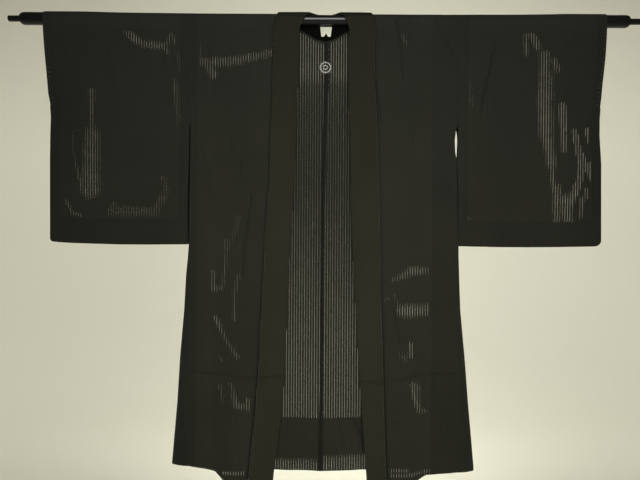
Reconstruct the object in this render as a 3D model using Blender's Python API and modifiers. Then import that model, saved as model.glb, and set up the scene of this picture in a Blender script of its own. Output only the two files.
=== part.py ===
"""A haori jacket: an unlined summer jacket of black striped gauze, hung by its sleeves on a round rod.

The origin is the middle of the rod. +X runs along the rod, the jacket's fronts face -Y and +Z is up.
"left" is the -X side. Every piece of cloth is first laid out flat, by its place across the jacket (x)
and by its run over the rod (0 at the rod's top, negative down the front, positive down the back).
The function hang() then puts a flat point where it hangs. Units are metres.
"""

import math
from collections import namedtuple

import bmesh
import bpy

# Cloth and its layers
WALL = 0.0012
SEAM_GAP = 0.0003
ROD_CLEARANCE = 0.0006
HEM_FOLD_RADIUS = 0.0014
SLEEVE_SEAM_RADIUS = 0.0016
TURN_UP = 0.116

# The rod: a bar that runs into a thicker tube towards each end
BAR_RADIUS = 0.0106
TUBE_RADIUS = 0.0136
TUBE_START = 0.531
ROD_HALF_LENGTH = 0.662
ROD_CHAMFER = 0.006
PEG_RADIUS = 0.0065
PEG_END = 0.690
ROD_SIDES = 40

# How the cloth hangs from the rod. Its runs are measured on a mean radius.
BAR_LAY = BAR_RADIUS + ROD_CLEARANCE + WALL / 2
TUBE_LAY = TUBE_RADIUS + ROD_CLEARANCE + WALL / 2
MEAN_LAY = 0.0137
QUARTER = math.pi / 2 * MEAN_LAY
HEM_DEPTH = 0.0112

# The cut of the jacket
HALF_SHOULDER = 0.2895
ARMHOLE = 0.215
GUSSET_TOP = 0.230
UNDERARM = 0.237
CUFF_OPENING = 0.190
COLLAR_LAP = 0.0035
COLLAR_ROLL = 0.0013
COLLAR_REST = 0.0022
COLLAR_STACK = 0.0016
STACK_FULL = QUARTER - 0.008
STACK_ENDS = QUARTER + 0.020
COLLAR_END = 1.016

# Mesh steps, and the drops of the rows between the rod and the armhole's end
BODY_COLUMNS = 9
SIDE_SLIT_DROPS = (0.262, 0.285, 0.310)
BODY_ROWS = 7
TURN_UP_ROWS = 2
NECK_STATIONS = 22
COLLAR_SHARES = (0.11, 0.22, 0.34, 0.46, 0.72, 1.00)
SLEEVE_COLUMNS = 8
SLEEVE_ROWS = 4
ROD_ROWS = 8
FRONT_YOKE_DROPS = (0.100, 0.155, ARMHOLE)
BACK_YOKE_DROPS = (0.095, 0.155, ARMHOLE)
CUFF_MOUTH_DROPS = (0.030, 0.085, 0.140)
NEAR_CUFF = (0.014, 0.006, SLEEVE_SEAM_RADIUS)

# Colours and roughness
Finish = namedtuple("Finish", "name colour roughness")
GAUZE = Finish("gauze", (0.020, 0.020, 0.016), 0.85)
BAND = Finish("doubled_gauze", (0.022, 0.022, 0.017), 0.85)
LABEL = Finish("pale_cloth", (0.72, 0.72, 0.60), 0.80)
ROD_PAINT = Finish("black_paint", (0.008, 0.008, 0.008), 0.30)

LEFT = -1
RIGHT = 1
FRONT = -1
BACK = 1

# Where the collar runs down each front: its inner fold and its free outer edge, both from the middle.
FrontCollar = namedtuple("FrontCollar", "drop left_fold left_edge right_fold right_edge")
FRONT_COLLAR = (
    FrontCollar(0.045, 0.0545, 0.1115, 0.0480, 0.1065),
    FrontCollar(0.200, 0.0600, 0.1150, 0.0530, 0.1130),
    FrontCollar(0.357, 0.0655, 0.1196, 0.0583, 0.1191),
    FrontCollar(0.479, 0.0734, 0.1277, 0.0611, 0.1225),
    FrontCollar(0.610, 0.0780, 0.1335, 0.0690, 0.1247),
    FrontCollar(0.772, 0.0838, 0.1413, 0.0780, 0.1305),
    FrontCollar(0.853, 0.0900, 0.1475, 0.0845, 0.1325),
    FrontCollar(0.978, 0.1055, 0.1598, 0.0941, 0.1375),
    FrontCollar(1.020, 0.1100, 0.1640, 0.0975, 0.1390),
)

# Round the neck: the seam to the body and the fold above it, by place and run, from a front to the nape.
NeckRow = namedtuple("NeckRow", "seam_x seam_run fold_x fold_run")
NECK = (
    NeckRow(0.1060, -0.0665, 0.0512, -0.0665),
    NeckRow(0.1060, -0.0440, 0.0530, -0.0460),
    NeckRow(0.1015, -0.0210, 0.0480, -0.0300),
    NeckRow(0.0930, 0.0010, 0.0395, -0.0140),
    NeckRow(0.0770, 0.0220, 0.0300, -0.0010),
    NeckRow(0.0470, 0.0430, 0.0150, 0.0060),
    NeckRow(0.0000, 0.0642, 0.0000, 0.0080),
)

# The left half of the neck stands a little wider, from the nape's row to the first row.
NECK_LEFT_SEAM = 0.002
NECK_LEFT_FOLD = 0.003
NECK_NARROWS = 4.0

# The front hem, by the share of the way from the side seam to the collar. It drops towards the collar.
HemRow = namedtuple("HemRow", "share left right")
FRONT_HEM = (
    HemRow(0.00, 0.969, 0.981),
    HemRow(0.25, 0.975, 0.983),
    HemRow(0.43, 0.982, 0.987),
    HemRow(0.56, 0.999, 1.000),
    HemRow(0.70, 1.009, 1.007),
    HemRow(0.84, 1.008, 1.010),
    HemRow(1.00, 0.997, 1.010),
)
BACK_HEM = (
    HemRow(0.00, 0.969, 0.981),
    HemRow(0.40, 0.978, 0.983),
    HemRow(0.70, 0.984, 0.983),
    HemRow(1.00, 0.988, 0.988),
)

# Half the width of each side gusset where it hangs outside the side seam.
GussetRow = namedtuple("GussetRow", "drop left right")
GUSSET = (
    GussetRow(0.230, 0.0012, 0.0012),
    GussetRow(0.310, 0.0020, 0.0020),
    GussetRow(0.490, 0.0032, 0.0028),
    GussetRow(0.560, 0.0100, 0.0055),
    GussetRow(0.630, 0.0136, 0.0086),
    GussetRow(0.735, 0.0222, 0.0188),
    GussetRow(0.830, 0.0274, 0.0262),
    GussetRow(0.972, 0.0388, 0.0388),
)

# The sleeve's outer edge. It steps in where the wrist opening ends.
CuffRow = namedtuple("CuffRow", "drop left right")
CUFF = (
    CuffRow(0.000, 0.6112, 0.6106),
    CuffRow(0.085, 0.6068, 0.6082),
    CuffRow(0.137, 0.6045, 0.6056),
    CuffRow(0.163, 0.6033, 0.6045),
    CuffRow(0.190, 0.5984, 0.6018),
    CuffRow(0.213, 0.5964, 0.6000),
    CuffRow(0.250, 0.5974, 0.5999),
    CuffRow(0.311, 0.5979, 0.6038),
    CuffRow(0.500, 0.5968, 0.6046),
)

# The edge of the body and the edge of the sleeve beside it, below the armhole.
SideRow = namedtuple("SideRow", "drop left_body right_body left_sleeve right_sleeve")
SIDE = (
    SideRow(0.215, 0.2895, 0.2895, 0.2895, 0.2895),
    SideRow(0.237, 0.2880, 0.2836, 0.2920, 0.2882),
    SideRow(0.262, 0.2881, 0.2803, 0.2924, 0.2868),
    SideRow(0.285, 0.2882, 0.2812, 0.2927, 0.2868),
    SideRow(0.310, 0.2883, 0.2848, 0.2930, 0.2882),
    SideRow(0.400, 0.2890, 0.2872, 0.2940, 0.2910),
    SideRow(0.490, 0.2895, 0.2890, 0.2945, 0.2932),
    SideRow(1.020, 0.2895, 0.2895, 0.2945, 0.2945),
)

# The centre back seam leans a little to the left as it falls.
CentreRow = namedtuple("CentreRow", "drop x")
CENTRE_SEAM = (
    CentreRow(0.0415, 0.0000),
    CentreRow(0.1000, 0.0015),
    CentreRow(0.3700, -0.0056),
    CentreRow(0.8300, -0.0074),
    CentreRow(1.0000, -0.0080),
)

# How far the cloth lies from the rod's axis. It slopes up towards the tubes.
LayRow = namedtuple("LayRow", "place radius")
LAY = (
    LayRow(0.270, BAR_LAY),
    LayRow(0.310, BAR_LAY + 0.0004),
    LayRow(0.410, BAR_LAY + 0.0009),
    LayRow(0.470, BAR_LAY + 0.0017),
    LayRow(0.525, TUBE_LAY),
)

# The largest soft folds in the body: a ridge stands out from the jacket, a trough goes in.
Fold = namedtuple("Fold", "layer x lean half_width depth starts full")
FOLDS = (
    Fold(FRONT, -0.258, -0.020, 0.040, 0.0030, 0.30, 0.85),
    Fold(FRONT, -0.195, 0.000, 0.050, 0.0045, 0.55, 1.00),
    Fold(FRONT, -0.215, -0.015, 0.035, -0.0025, 0.25, 0.60),
    Fold(FRONT, 0.240, 0.015, 0.045, 0.0035, 0.35, 0.90),
    Fold(FRONT, 0.180, 0.010, 0.045, 0.0040, 0.60, 1.00),
    Fold(FRONT, 0.205, 0.000, 0.035, -0.0025, 0.20, 0.55),
    Fold(BACK, -0.210, -0.010, 0.060, 0.0040, 0.30, 0.95),
    Fold(BACK, -0.105, 0.005, 0.050, -0.0025, 0.35, 0.90),
    Fold(BACK, -0.030, 0.000, 0.045, 0.0025, 0.50, 1.00),
    Fold(BACK, 0.065, -0.010, 0.050, -0.0025, 0.40, 0.95),
    Fold(BACK, 0.160, 0.015, 0.060, 0.0040, 0.30, 0.90),
)

# How far the narrow start of a gusset's section runs on flat from its seam, and the points of its curve
GUSSET_FLAT = 0.0010
GUSSET_ANGLES = (0, 24, 48, 72)
GUSSET_SHARPENS = 0.8

# The sleeve's bottom edge, by the share of the way from the armhole to the cuff. It sags a little.
BottomRow = namedtuple("BottomRow", "share left right")
SLEEVE_BOTTOM = (
    BottomRow(0.00, 0.4902, 0.4914),
    BottomRow(0.30, 0.4912, 0.4928),
    BottomRow(0.50, 0.4912, 0.4928),
    BottomRow(0.70, 0.4897, 0.4920),
    BottomRow(0.85, 0.4884, 0.4910),
    BottomRow(1.00, 0.4860, 0.4900),
)

# The sleeves: radius of the lower corner, and how the two layers close together
SLEEVE_CORNER = {LEFT: 0.008, RIGHT: 0.013}
SLEEVE_PINCH = 0.27
CUFF_PINCH = 0.16
CUFF_MOUTH_STARTS = 0.03
PINCH_POWER = 2.4

# The label inside the nape
LABEL_MIDDLE = 0.0025
LABEL_TOP_HALF = 0.0130
LABEL_FOOT_HALF = 0.0102
LABEL_TOP_DROP = 0.0112
LABEL_FOOT_DROP = 0.0323
LABEL_NOTCH_HALF = 0.0044
LABEL_NOTCH = 0.0070
LABEL_THICK = 0.0010
LABEL_GAP = 0.0006


def smoothstep(start, end, value):
    """0 before start, 1 after end, and a soft S between them."""
    share = min(1.0, max(0.0, (value - start) / (end - start)))
    return share * share * (3 - 2 * share)


def between(first, second, share):
    return first + (second - first) * share


def look_up(rows, key, column, value):
    """Reads a column of a table at a value of its key column, on straight lines between its rows."""
    if value <= getattr(rows[0], key):
        return getattr(rows[0], column)
    for low, high in zip(rows, rows[1:]):
        start, end = getattr(low, key), getattr(high, key)
        if value <= end:
            return between(getattr(low, column), getattr(high, column), (value - start) / (end - start))
    return getattr(rows[-1], column)


def neck_value(column, place):
    """Reads a column of the neck's table at a place counted in rows, on a smooth curve.

    Past the last row, which is the middle of the nape, the curve goes on as its own mirror image.
    """
    index = min(int(place), len(NECK) - 2)
    share = place - index
    start, end = getattr(NECK[index], column), getattr(NECK[index + 1], column)
    before = getattr(NECK[max(index - 1, 0)], column)
    if index + 2 < len(NECK):
        after = getattr(NECK[index + 2], column)
    else:
        after = start if column.endswith("run") else -start
    slope_in = (end - before) / 2
    slope_out = (after - start) / 2
    cube = 2 * start - 2 * end + slope_in + slope_out
    square = 3 * end - 3 * start - 2 * slope_in - slope_out
    return ((cube * share + square) * share + slope_in) * share + start


def side_name(side):
    return "left" if side == LEFT else "right"


def fold_lift(x, drop, layer):
    """How far the soft folds push a hanging layer out of its plane."""
    lift = 0.0
    for fold in FOLDS:
        offset = (x - fold.x - fold.lean * drop) / fold.half_width
        if fold.layer == layer and abs(offset) < 1:
            lift += fold.depth * (1 - offset * offset) ** 2 * smoothstep(fold.starts, fold.full, drop)
    return lift


def lay_radius(x):
    """The distance of the cloth's middle surface from the rod's axis."""
    return look_up(LAY, "place", "radius", abs(x))


def layer_depth(x, drop, layer):
    """The distance of a body layer from the rod's upright middle plane."""
    narrowing = (lay_radius(x) - HEM_DEPTH) * smoothstep(0.0, COLLAR_END, drop)
    return lay_radius(x) - narrowing + fold_lift(x, drop, layer)


def hang(x, run, lift=0.0):
    """The hung place of a flat point. lift moves it out of the cloth's middle surface."""
    drop = abs(run) - QUARTER
    if drop <= 0:
        angle = run / MEAN_LAY
        radius = lay_radius(x) + lift
        return (x, radius * math.sin(angle), radius * math.cos(angle))
    layer = FRONT if run < 0 else BACK
    return (x, layer * (layer_depth(x, drop, layer) + lift), -drop)


def hem_turn(hem):
    """The turned-up hem as (drop, lift) pairs, from the outer layer round the fold to its inner end."""
    centre = hem - HEM_FOLD_RADIUS
    pairs = []
    for angle in (math.radians(45), math.radians(90), math.radians(135)):
        drop = centre + HEM_FOLD_RADIUS * math.sin(angle)
        pairs.append((drop, HEM_FOLD_RADIUS * (math.cos(angle) - 1)))
    for step in range(TURN_UP_ROWS + 1):
        drop = between(centre, hem - TURN_UP, step / TURN_UP_ROWS)
        pairs.append((drop, -2 * HEM_FOLD_RADIUS))
    return pairs


def centre_seam(drop):
    """How far the centre back seam stands from the middle."""
    return look_up(CENTRE_SEAM, "drop", "x", drop)


def hanging_drops(end, steps):
    """The drops of the rows from the underarm down to an end, past the slit beside the sleeve."""
    last = SIDE_SLIT_DROPS[-1]
    return [UNDERARM, *SIDE_SLIT_DROPS] + [between(last, end, step / steps) for step in range(1, steps + 1)]


def skirt_drops(end):
    return hanging_drops(end, BODY_ROWS)


def skirt_rows(hem):
    """A layer from the underarm to the hem and up its turn-up, as (drop, lift) pairs."""
    return [(drop, 0.0) for drop in skirt_drops(hem - HEM_FOLD_RADIUS)] + hem_turn(hem)


def collar_stations(side):
    """The collar's seam and fold from the nape's middle to its front end: (seam, fold) flat points."""
    name = side_name(side)
    stations = []
    for step in range(NECK_STATIONS + 1):
        place = (len(NECK) - 1) * (1 - step / NECK_STATIONS)
        seam_x, seam_run, fold_x, fold_run = (neck_value(column, place) for column in NeckRow._fields)
        if side == LEFT:
            wider = smoothstep(NECK_NARROWS, 0.0, place)
            seam_x += NECK_LEFT_SEAM * wider
            fold_x += NECK_LEFT_FOLD * wider
        stations.append(((side * seam_x, seam_run), (side * fold_x, fold_run)))
    hem = look_up(FRONT_HEM, "share", name, 1.0) - HEM_FOLD_RADIUS
    for drop in [*FRONT_YOKE_DROPS, *skirt_drops(hem), COLLAR_END]:
        seam_x = look_up(FRONT_COLLAR, "drop", name + "_edge", drop) - COLLAR_LAP
        fold_x = look_up(FRONT_COLLAR, "drop", name + "_fold", drop)
        stations.append(((side * seam_x, -QUARTER - drop), (side * fold_x, -QUARTER - drop)))
    return stations


def across(seam, fold, distance):
    """A flat point at a distance outside the seam, on the line from the collar's fold through its seam."""
    reach = math.hypot(seam[0] - fold[0], seam[1] - fold[1])
    return tuple(edge + (edge - inner) / reach * distance for inner, edge in zip(fold, seam))


def new_material(name, colour, roughness):
    material = bpy.data.materials.new(name)
    material.use_nodes = True
    shader = material.node_tree.nodes["Principled BSDF"]
    shader.inputs["Base Color"].default_value = (*colour, 1.0)
    shader.inputs["Roughness"].default_value = roughness
    shader.inputs["Metallic"].default_value = 0.0
    return material


def add_object(name, mesh, finish):
    mesh.materials.append(new_material(name + "_" + finish.name, finish.colour, finish.roughness))
    piece = bpy.data.objects.new(name, mesh)
    haori.objects.link(piece)
    return piece


def rise(first, second):
    """How far apart two points are as seen along the rod."""
    return math.hypot(first.co.y - second.co.y, first.co.z - second.co.z)


def cloth_piece(name, rows, finish):
    """A wall of cloth on a grid of middle points.

    Each cell is split along the diagonal that changes least in run, so that the facets lie round the rod.
    """
    frame = bmesh.new()
    grid = [[frame.verts.new(point) for point in row] for row in rows]
    for upper, lower in zip(grid, grid[1:]):
        for column in range(len(upper) - 1):
            first, second = upper[column], upper[column + 1]
            third, fourth = lower[column + 1], lower[column]
            if rise(first, third) < rise(second, fourth):
                frame.faces.new((first, second, third))
                frame.faces.new((first, third, fourth))
            else:
                frame.faces.new((first, second, fourth))
                frame.faces.new((second, third, fourth))
    return finish_cloth(name, frame, finish)


def finish_cloth(name, frame, finish):
    bmesh.ops.remove_doubles(frame, verts=frame.verts, dist=1e-6)
    bmesh.ops.dissolve_degenerate(frame, edges=frame.edges, dist=1e-6)
    bmesh.ops.recalc_face_normals(frame, faces=frame.faces)
    mesh = bpy.data.meshes.new(name)
    frame.to_mesh(mesh)
    frame.free()
    mesh.shade_smooth()
    piece = add_object(name, mesh, finish)
    wall = piece.modifiers.new("wall", "SOLIDIFY")
    wall.thickness = WALL
    wall.offset = 0.0
    wall.use_even_offset = True
    return piece


def body_half(side, finish):
    """One loom width from the front hem over the rod to the back hem, with both hems turned up."""
    name = side_name(side)
    stations = collar_stations(side)
    upper = stations[: NECK_STATIONS + 1 + len(FRONT_YOKE_DROPS)]

    def skirt(layer):
        hems = []
        for column in range(BODY_COLUMNS + 1):
            table = FRONT_HEM if layer == FRONT else BACK_HEM
            hems.append(skirt_rows(look_up(table, "share", name, column / BODY_COLUMNS)))
        made = []
        for places in zip(*hems):
            row = []
            for column, (drop, lift) in enumerate(places):
                side_x = side * look_up(SIDE, "drop", name + "_body", drop)
                inner_x = centre_seam(drop) + side * SEAM_GAP / 2
                if layer == FRONT:
                    inner_drop = places[-1][0]
                    inner_x = look_up(FRONT_COLLAR, "drop", name + "_edge", inner_drop)
                    inner_x = side * (inner_x + SEAM_GAP / 2 - COLLAR_LAP)
                x = between(side_x, inner_x, column / BODY_COLUMNS)
                row.append(hang(x, layer * (QUARTER + drop), lift))
            made.append(row)
        return made

    def yoke_row(run, inner):
        row = []
        for column in range(BODY_COLUMNS):
            x = between(side * (HALF_SHOULDER - SEAM_GAP / 2), inner[0], column / BODY_COLUMNS)
            row.append(hang(x, run))
        row.append(hang(*inner))
        return row

    rows = list(reversed(skirt(FRONT)))
    for seam, fold in reversed(upper):
        inner = across(seam, fold, SEAM_GAP / 2)
        if seam[0] == 0:
            inner = (side * SEAM_GAP / 2, seam[1] + SEAM_GAP / 2)
        rows.append(yoke_row(seam[1], inner))
    for drop in BACK_YOKE_DROPS:
        rows.append(yoke_row(QUARTER + drop, (centre_seam(drop) + side * SEAM_GAP / 2, QUARTER + drop)))
    rows += skirt(BACK)
    return cloth_piece("body_" + name, rows, finish)


def sleeve(side, finish):
    """A length of cloth folded over the rod, sewn along the bottom and up the cuff to its opening."""
    name = side_name(side)
    corner = SLEEVE_CORNER[side]
    radius = SLEEVE_SEAM_RADIUS

    def half_depth(x, edge_distance, drop, bottom_drop):
        flat = layer_depth(x, min(drop, ARMHOLE), FRONT)
        above_bottom = min(1.0, max(0.0, (bottom_drop - radius - drop) / SLEEVE_PINCH))
        from_cuff = min(1.0, max(0.0, (edge_distance - radius) / CUFF_PINCH))
        shut = smoothstep(CUFF_MOUTH_STARTS, CUFF_OPENING, drop)
        share = (1 - (1 - above_bottom) ** PINCH_POWER) * (1 - shut * (1 - from_cuff) ** PINCH_POWER)
        return radius + (flat - radius) * share

    def column_points(share, near_cuff, turn):
        """The points over the rod and those round the hanging pouch, both from front to back.

        share goes from the armhole to the cuff, near_cuff is a distance from the cuff instead, and
        turn is the angle round the cuff seam.
        """

        def across_at(drop):
            outer = look_up(CUFF, "drop", name, drop)
            inner = look_up(SIDE, "drop", name + "_sleeve", drop) + SEAM_GAP / 2
            if near_cuff is None:
                return between(inner, outer, share), (outer - inner) * (1 - share)
            distance = near_cuff - radius * math.sin(turn)
            return outer - distance, distance

        bottom = look_up(SLEEVE_BOTTOM, "share", name, share)
        distance = across_at(bottom)[1]
        into_corner = max(0.0, corner - distance)
        column_bottom = bottom - corner + math.sqrt(max(0.0, corner**2 - into_corner**2))
        shrink = math.cos(turn)
        foot = column_bottom - radius
        drops = [*CUFF_MOUTH_DROPS, CUFF_OPENING, ARMHOLE]
        drops += hanging_drops(foot, SLEEVE_ROWS)
        front = []
        for drop in drops:
            x, distance = across_at(drop)
            front.append((x, half_depth(x, max(distance, radius), drop, column_bottom) * shrink, drop))
        x = across_at(foot)[0]
        turned = radius * math.sqrt(0.5)
        front.append((x, turned * shrink, foot + turned))
        middle = [(side * x, 0.0, -column_bottom)]
        top_x = side * across_at(0)[0]
        top = [hang(top_x, QUARTER * (2 * step / ROD_ROWS - 1)) for step in range(ROD_ROWS + 1)]
        down = [(side * x, -depth, -drop) for x, depth, drop in front]
        up = [(side * x, depth, -drop) for x, depth, drop in reversed(front)]
        return top, down + middle + up

    frame = bmesh.new()
    columns = [(share / SLEEVE_COLUMNS, None, 0.0) for share in range(SLEEVE_COLUMNS)]
    columns += [(1.0, distance, 0.0) for distance in NEAR_CUFF]
    rings = []
    for share, near_cuff, turn in columns:
        top, loop = column_points(share, near_cuff, turn)
        rings.append([frame.verts.new(point) for point in top + list(reversed(loop))])
    for first, second in zip(rings, rings[1:]):
        for place in range(len(first)):
            after = (place + 1) % len(first)
            frame.faces.new((first[place], first[after], second[after], second[place]))
    open_rows = len(CUFF_MOUTH_DROPS)
    last = rings[-1][len(top) + open_rows : -open_rows]
    for turn in (math.radians(45), math.radians(90)):
        loop = column_points(1.0, radius, turn)[1]
        points = list(reversed(loop))[open_rows:-open_rows]
        chain = [frame.verts.new(point) for point in points]
        for place in range(len(chain) - 1):
            frame.faces.new((last[place], last[place + 1], chain[place + 1], chain[place]))
        last = chain
    return finish_cloth("sleeve_" + name, frame, finish)


def gusset(side, finish):
    """The tapered strip between front and back below the armhole, hung as a soft flattened tube."""
    name = side_name(side)
    hem = look_up(FRONT_HEM, "share", name, 0.0)
    widest = getattr(GUSSET[-1], name)
    rows = []
    for drop in [GUSSET_TOP] + skirt_drops(hem):
        reach = look_up(GUSSET, "drop", name, drop)
        seam_x = look_up(SIDE, "drop", name + "_body", drop) + SEAM_GAP
        row = []
        for layer in (FRONT, BACK):
            depth = layer_depth(side * seam_x, drop, layer)
            arm = [(seam_x, depth)]
            for angle in map(math.radians, GUSSET_ANGLES):
                x = seam_x + GUSSET_FLAT + (reach - GUSSET_FLAT) * math.sin(angle)
                arm.append((x, depth * math.cos(angle) ** (1 + GUSSET_SHARPENS * reach / widest)))
            points = [(side * x, layer * y, -drop) for x, y in arm]
            if layer == FRONT:
                row += points + [(side * (seam_x + reach), 0.0, -drop)]
            else:
                row += reversed(points)
        rows.append(row)
    return cloth_piece("gusset_" + name, rows, finish)


def collar_band(finish):
    """The double band: an under layer sewn to the body's edge, a soft fold and an outer layer over it."""
    left = collar_stations(LEFT)
    right = collar_stations(RIGHT)
    rows = []
    for (seam, fold) in list(reversed(left)) + right[1:]:
        reach = math.hypot(seam[0] - fold[0], seam[1] - fold[1])
        over_rod = smoothstep(STACK_ENDS, STACK_FULL, abs(fold[1]))
        rest = COLLAR_REST + COLLAR_STACK * over_rod
        roll = COLLAR_ROLL + COLLAR_STACK / 2 * over_rod
        row = []
        for share in reversed(COLLAR_SHARES):
            distance = -SEAM_GAP / 2 - (reach - roll - SEAM_GAP / 2) * (1 - share)
            row.append(hang(*across(seam, fold, distance)))
        for angle in range(0, 181, 45):
            turn = math.radians(angle)
            distance = roll - reach - roll * math.sin(turn)
            row.append(hang(*across(seam, fold, distance), roll * (1 - math.cos(turn))))
        for share in COLLAR_SHARES:
            distance = between(roll - reach, COLLAR_LAP, share)
            row.append(hang(*across(seam, fold, distance), between(2 * roll, rest, share)))
        rows.append(row)
    return cloth_piece("collar", rows, finish)


def nape_label(finish):
    """A small tapered patch with a notched foot, on the inside of the collar."""
    outline = (
        (-LABEL_TOP_HALF, LABEL_TOP_DROP),
        (LABEL_TOP_HALF, LABEL_TOP_DROP),
        (LABEL_FOOT_HALF, LABEL_FOOT_DROP),
        (LABEL_NOTCH_HALF, LABEL_FOOT_DROP),
        (0.0, LABEL_FOOT_DROP - LABEL_NOTCH),
        (-LABEL_NOTCH_HALF, LABEL_FOOT_DROP),
        (-LABEL_FOOT_HALF, LABEL_FOOT_DROP),
    )
    plane = layer_depth(0, LABEL_FOOT_DROP, BACK) - WALL / 2 - LABEL_GAP
    frame = bmesh.new()
    points = [frame.verts.new((LABEL_MIDDLE + x, plane, -drop)) for x, drop in outline]
    face = frame.faces.new(points)
    raised = bmesh.ops.extrude_face_region(frame, geom=[face])["geom"]
    corners = [item for item in raised if isinstance(item, bmesh.types.BMVert)]
    bmesh.ops.translate(frame, verts=corners, vec=(0, -LABEL_THICK, 0))
    bmesh.ops.recalc_face_normals(frame, faces=frame.faces)
    mesh = bpy.data.meshes.new("nape_label")
    frame.to_mesh(mesh)
    frame.free()
    return add_object("nape_label", mesh, finish)


def rod(finish):
    """The turned rod. Each tube ends in a chamfer and a thinner peg, which seats in a rack's post."""
    half = (
        (0.0, PEG_END),
        (PEG_RADIUS, PEG_END),
        (PEG_RADIUS, ROD_HALF_LENGTH),
        (TUBE_RADIUS - ROD_CHAMFER / 3, ROD_HALF_LENGTH),
        (TUBE_RADIUS, ROD_HALF_LENGTH - ROD_CHAMFER),
        (TUBE_RADIUS, TUBE_START),
        (BAR_RADIUS, TUBE_START),
    )
    profile = list(half) + [(radius, -place) for radius, place in reversed(half)]
    mesh = bpy.data.meshes.new("rod")
    edges = [(start, start + 1) for start in range(len(profile) - 1)]
    mesh.from_pydata([(radius, 0.0, height) for radius, height in profile], edges, [])
    piece = add_object("rod", mesh, finish)
    piece.rotation_euler = (0.0, math.pi / 2, 0.0)
    turned = piece.modifiers.new("turned", "SCREW")
    turned.steps = ROD_SIDES
    turned.render_steps = ROD_SIDES
    turned.use_merge_vertices = True
    turned.merge_threshold = 0.00001
    turned.use_normal_calculate = True
    return piece


for old in list(bpy.data.objects):
    bpy.data.objects.remove(old)

haori = bpy.data.collections.new("haori_jacket")
bpy.context.scene.collection.children.link(haori)

for half in (LEFT, RIGHT):
    body_half(half, GAUZE)
    sleeve(half, GAUZE)
    gusset(half, GAUZE)
collar_band(BAND)
nape_label(LABEL)
rod(ROD_PAINT)
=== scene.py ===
"""Looks of the haori jacket: striped leno gauze, its seams, creases, stitches and the painted rod.

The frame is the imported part: the origin is the middle of the rod, +X runs along the rod, the fronts
face -Y and +Z is up. "left" is the -X side. As in the part's source, each piece of cloth is laid out
flat, by its place across the jacket (x) and its run over the rod (0 on top of the rod, negative down
the front, positive down the back), and hang() puts it where it hangs. Units are metres.
"""

import math
from collections import namedtuple

import bmesh
import bpy
import mathutils
import numpy as np
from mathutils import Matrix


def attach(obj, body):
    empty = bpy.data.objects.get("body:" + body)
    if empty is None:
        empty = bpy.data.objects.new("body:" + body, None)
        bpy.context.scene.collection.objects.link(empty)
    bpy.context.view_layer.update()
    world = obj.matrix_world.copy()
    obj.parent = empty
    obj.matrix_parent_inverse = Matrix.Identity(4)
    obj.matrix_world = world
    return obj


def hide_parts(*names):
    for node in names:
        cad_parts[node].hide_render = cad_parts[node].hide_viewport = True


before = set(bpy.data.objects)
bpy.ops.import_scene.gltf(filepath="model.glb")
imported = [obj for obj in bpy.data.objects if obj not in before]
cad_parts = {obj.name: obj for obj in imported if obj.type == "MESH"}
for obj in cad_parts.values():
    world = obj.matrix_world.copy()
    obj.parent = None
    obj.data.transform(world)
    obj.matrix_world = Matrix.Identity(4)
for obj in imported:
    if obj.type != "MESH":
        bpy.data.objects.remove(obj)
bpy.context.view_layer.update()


def table(columns, *rows):
    """The rows of a table, with their columns' names."""
    row = namedtuple("Row", columns)
    return tuple(row(*values) for values in rows)


# Cloth and its layers
WALL = 0.0012
ROD_CLEARANCE = 0.0006
HEM_FOLD_RADIUS = 0.0014
SLEEVE_SEAM_RADIUS = 0.0016
TURN_UP = 0.116

# The rod: a bar that runs into a thicker tube towards each end
BAR_RADIUS = 0.0106
TUBE_RADIUS = 0.0136
TUBE_START = 0.531
TUBE_LIP = 0.0006
ROD_HALF_LENGTH = 0.662
ROD_CHAMFER = 0.006
PEG_RADIUS = 0.0065
PEG_END = 0.690
ROD_SIDES = 96

# How the cloth hangs from the rod. Its runs are measured on a mean radius.
BAR_LAY = BAR_RADIUS + ROD_CLEARANCE + WALL / 2
TUBE_LAY = TUBE_RADIUS + ROD_CLEARANCE + WALL / 2
MEAN_LAY = 0.0137
QUARTER = math.pi / 2 * MEAN_LAY
HEM_DEPTH = 0.0112

# The cut of the jacket
HALF_SHOULDER = 0.2895
ARMHOLE = 0.215
GUSSET_TOP = 0.230
UNDERARM = 0.237
CUFF_OPENING = 0.190
COLLAR_LAP = 0.0035
COLLAR_ROLL = 0.0013
COLLAR_REST = 0.0022
COLLAR_STACK = 0.0016
STACK_FULL = QUARTER - 0.008
STACK_ENDS = QUARTER + 0.020
COLLAR_END = 1.016

# Mesh steps, with angles in degrees. A turn-up's rows lie closer together next to its fold. Near the
# cuff a sleeve's last columns have distances of their own.
BODY_COLUMNS = 84
BODY_ROWS = 180
YOKE_ROWS = 40
TURN_UP_ROWS = 30
TURN_UP_SPACING = 1.5
NECK_STATIONS = 64
COLLAR_COLUMNS = 14
SLEEVE_COLUMNS = 128
SLEEVE_WHOLE_COLUMNS = 121
COLLAR_END_ROWS = 3
SLEEVE_ROWS = 64
ARM_ROWS = 48
ROD_ROWS = 20
FOLD_STEP = 30
BOTTOM_TURNS = (30, 60)
CUFF_TURNS = (45, 90)
SAME_POINT = 1e-6
NEAR_CUFF = (0.0140, 0.0100, 0.0060, 0.0035, SLEEVE_SEAM_RADIUS)

LEFT = -1
RIGHT = 1
FRONT = -1
BACK = 1
SIDE_NAMES = {LEFT: "left", RIGHT: "right"}

# The gauze: see-through slits in the warp direction with a few weft threads crossing them
SLIT_PITCH = 0.0055
SLIT_WIDTH = 0.00058
CROSSING_PITCH = 0.0011
CROSSING_SHARE = 0.20

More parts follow.
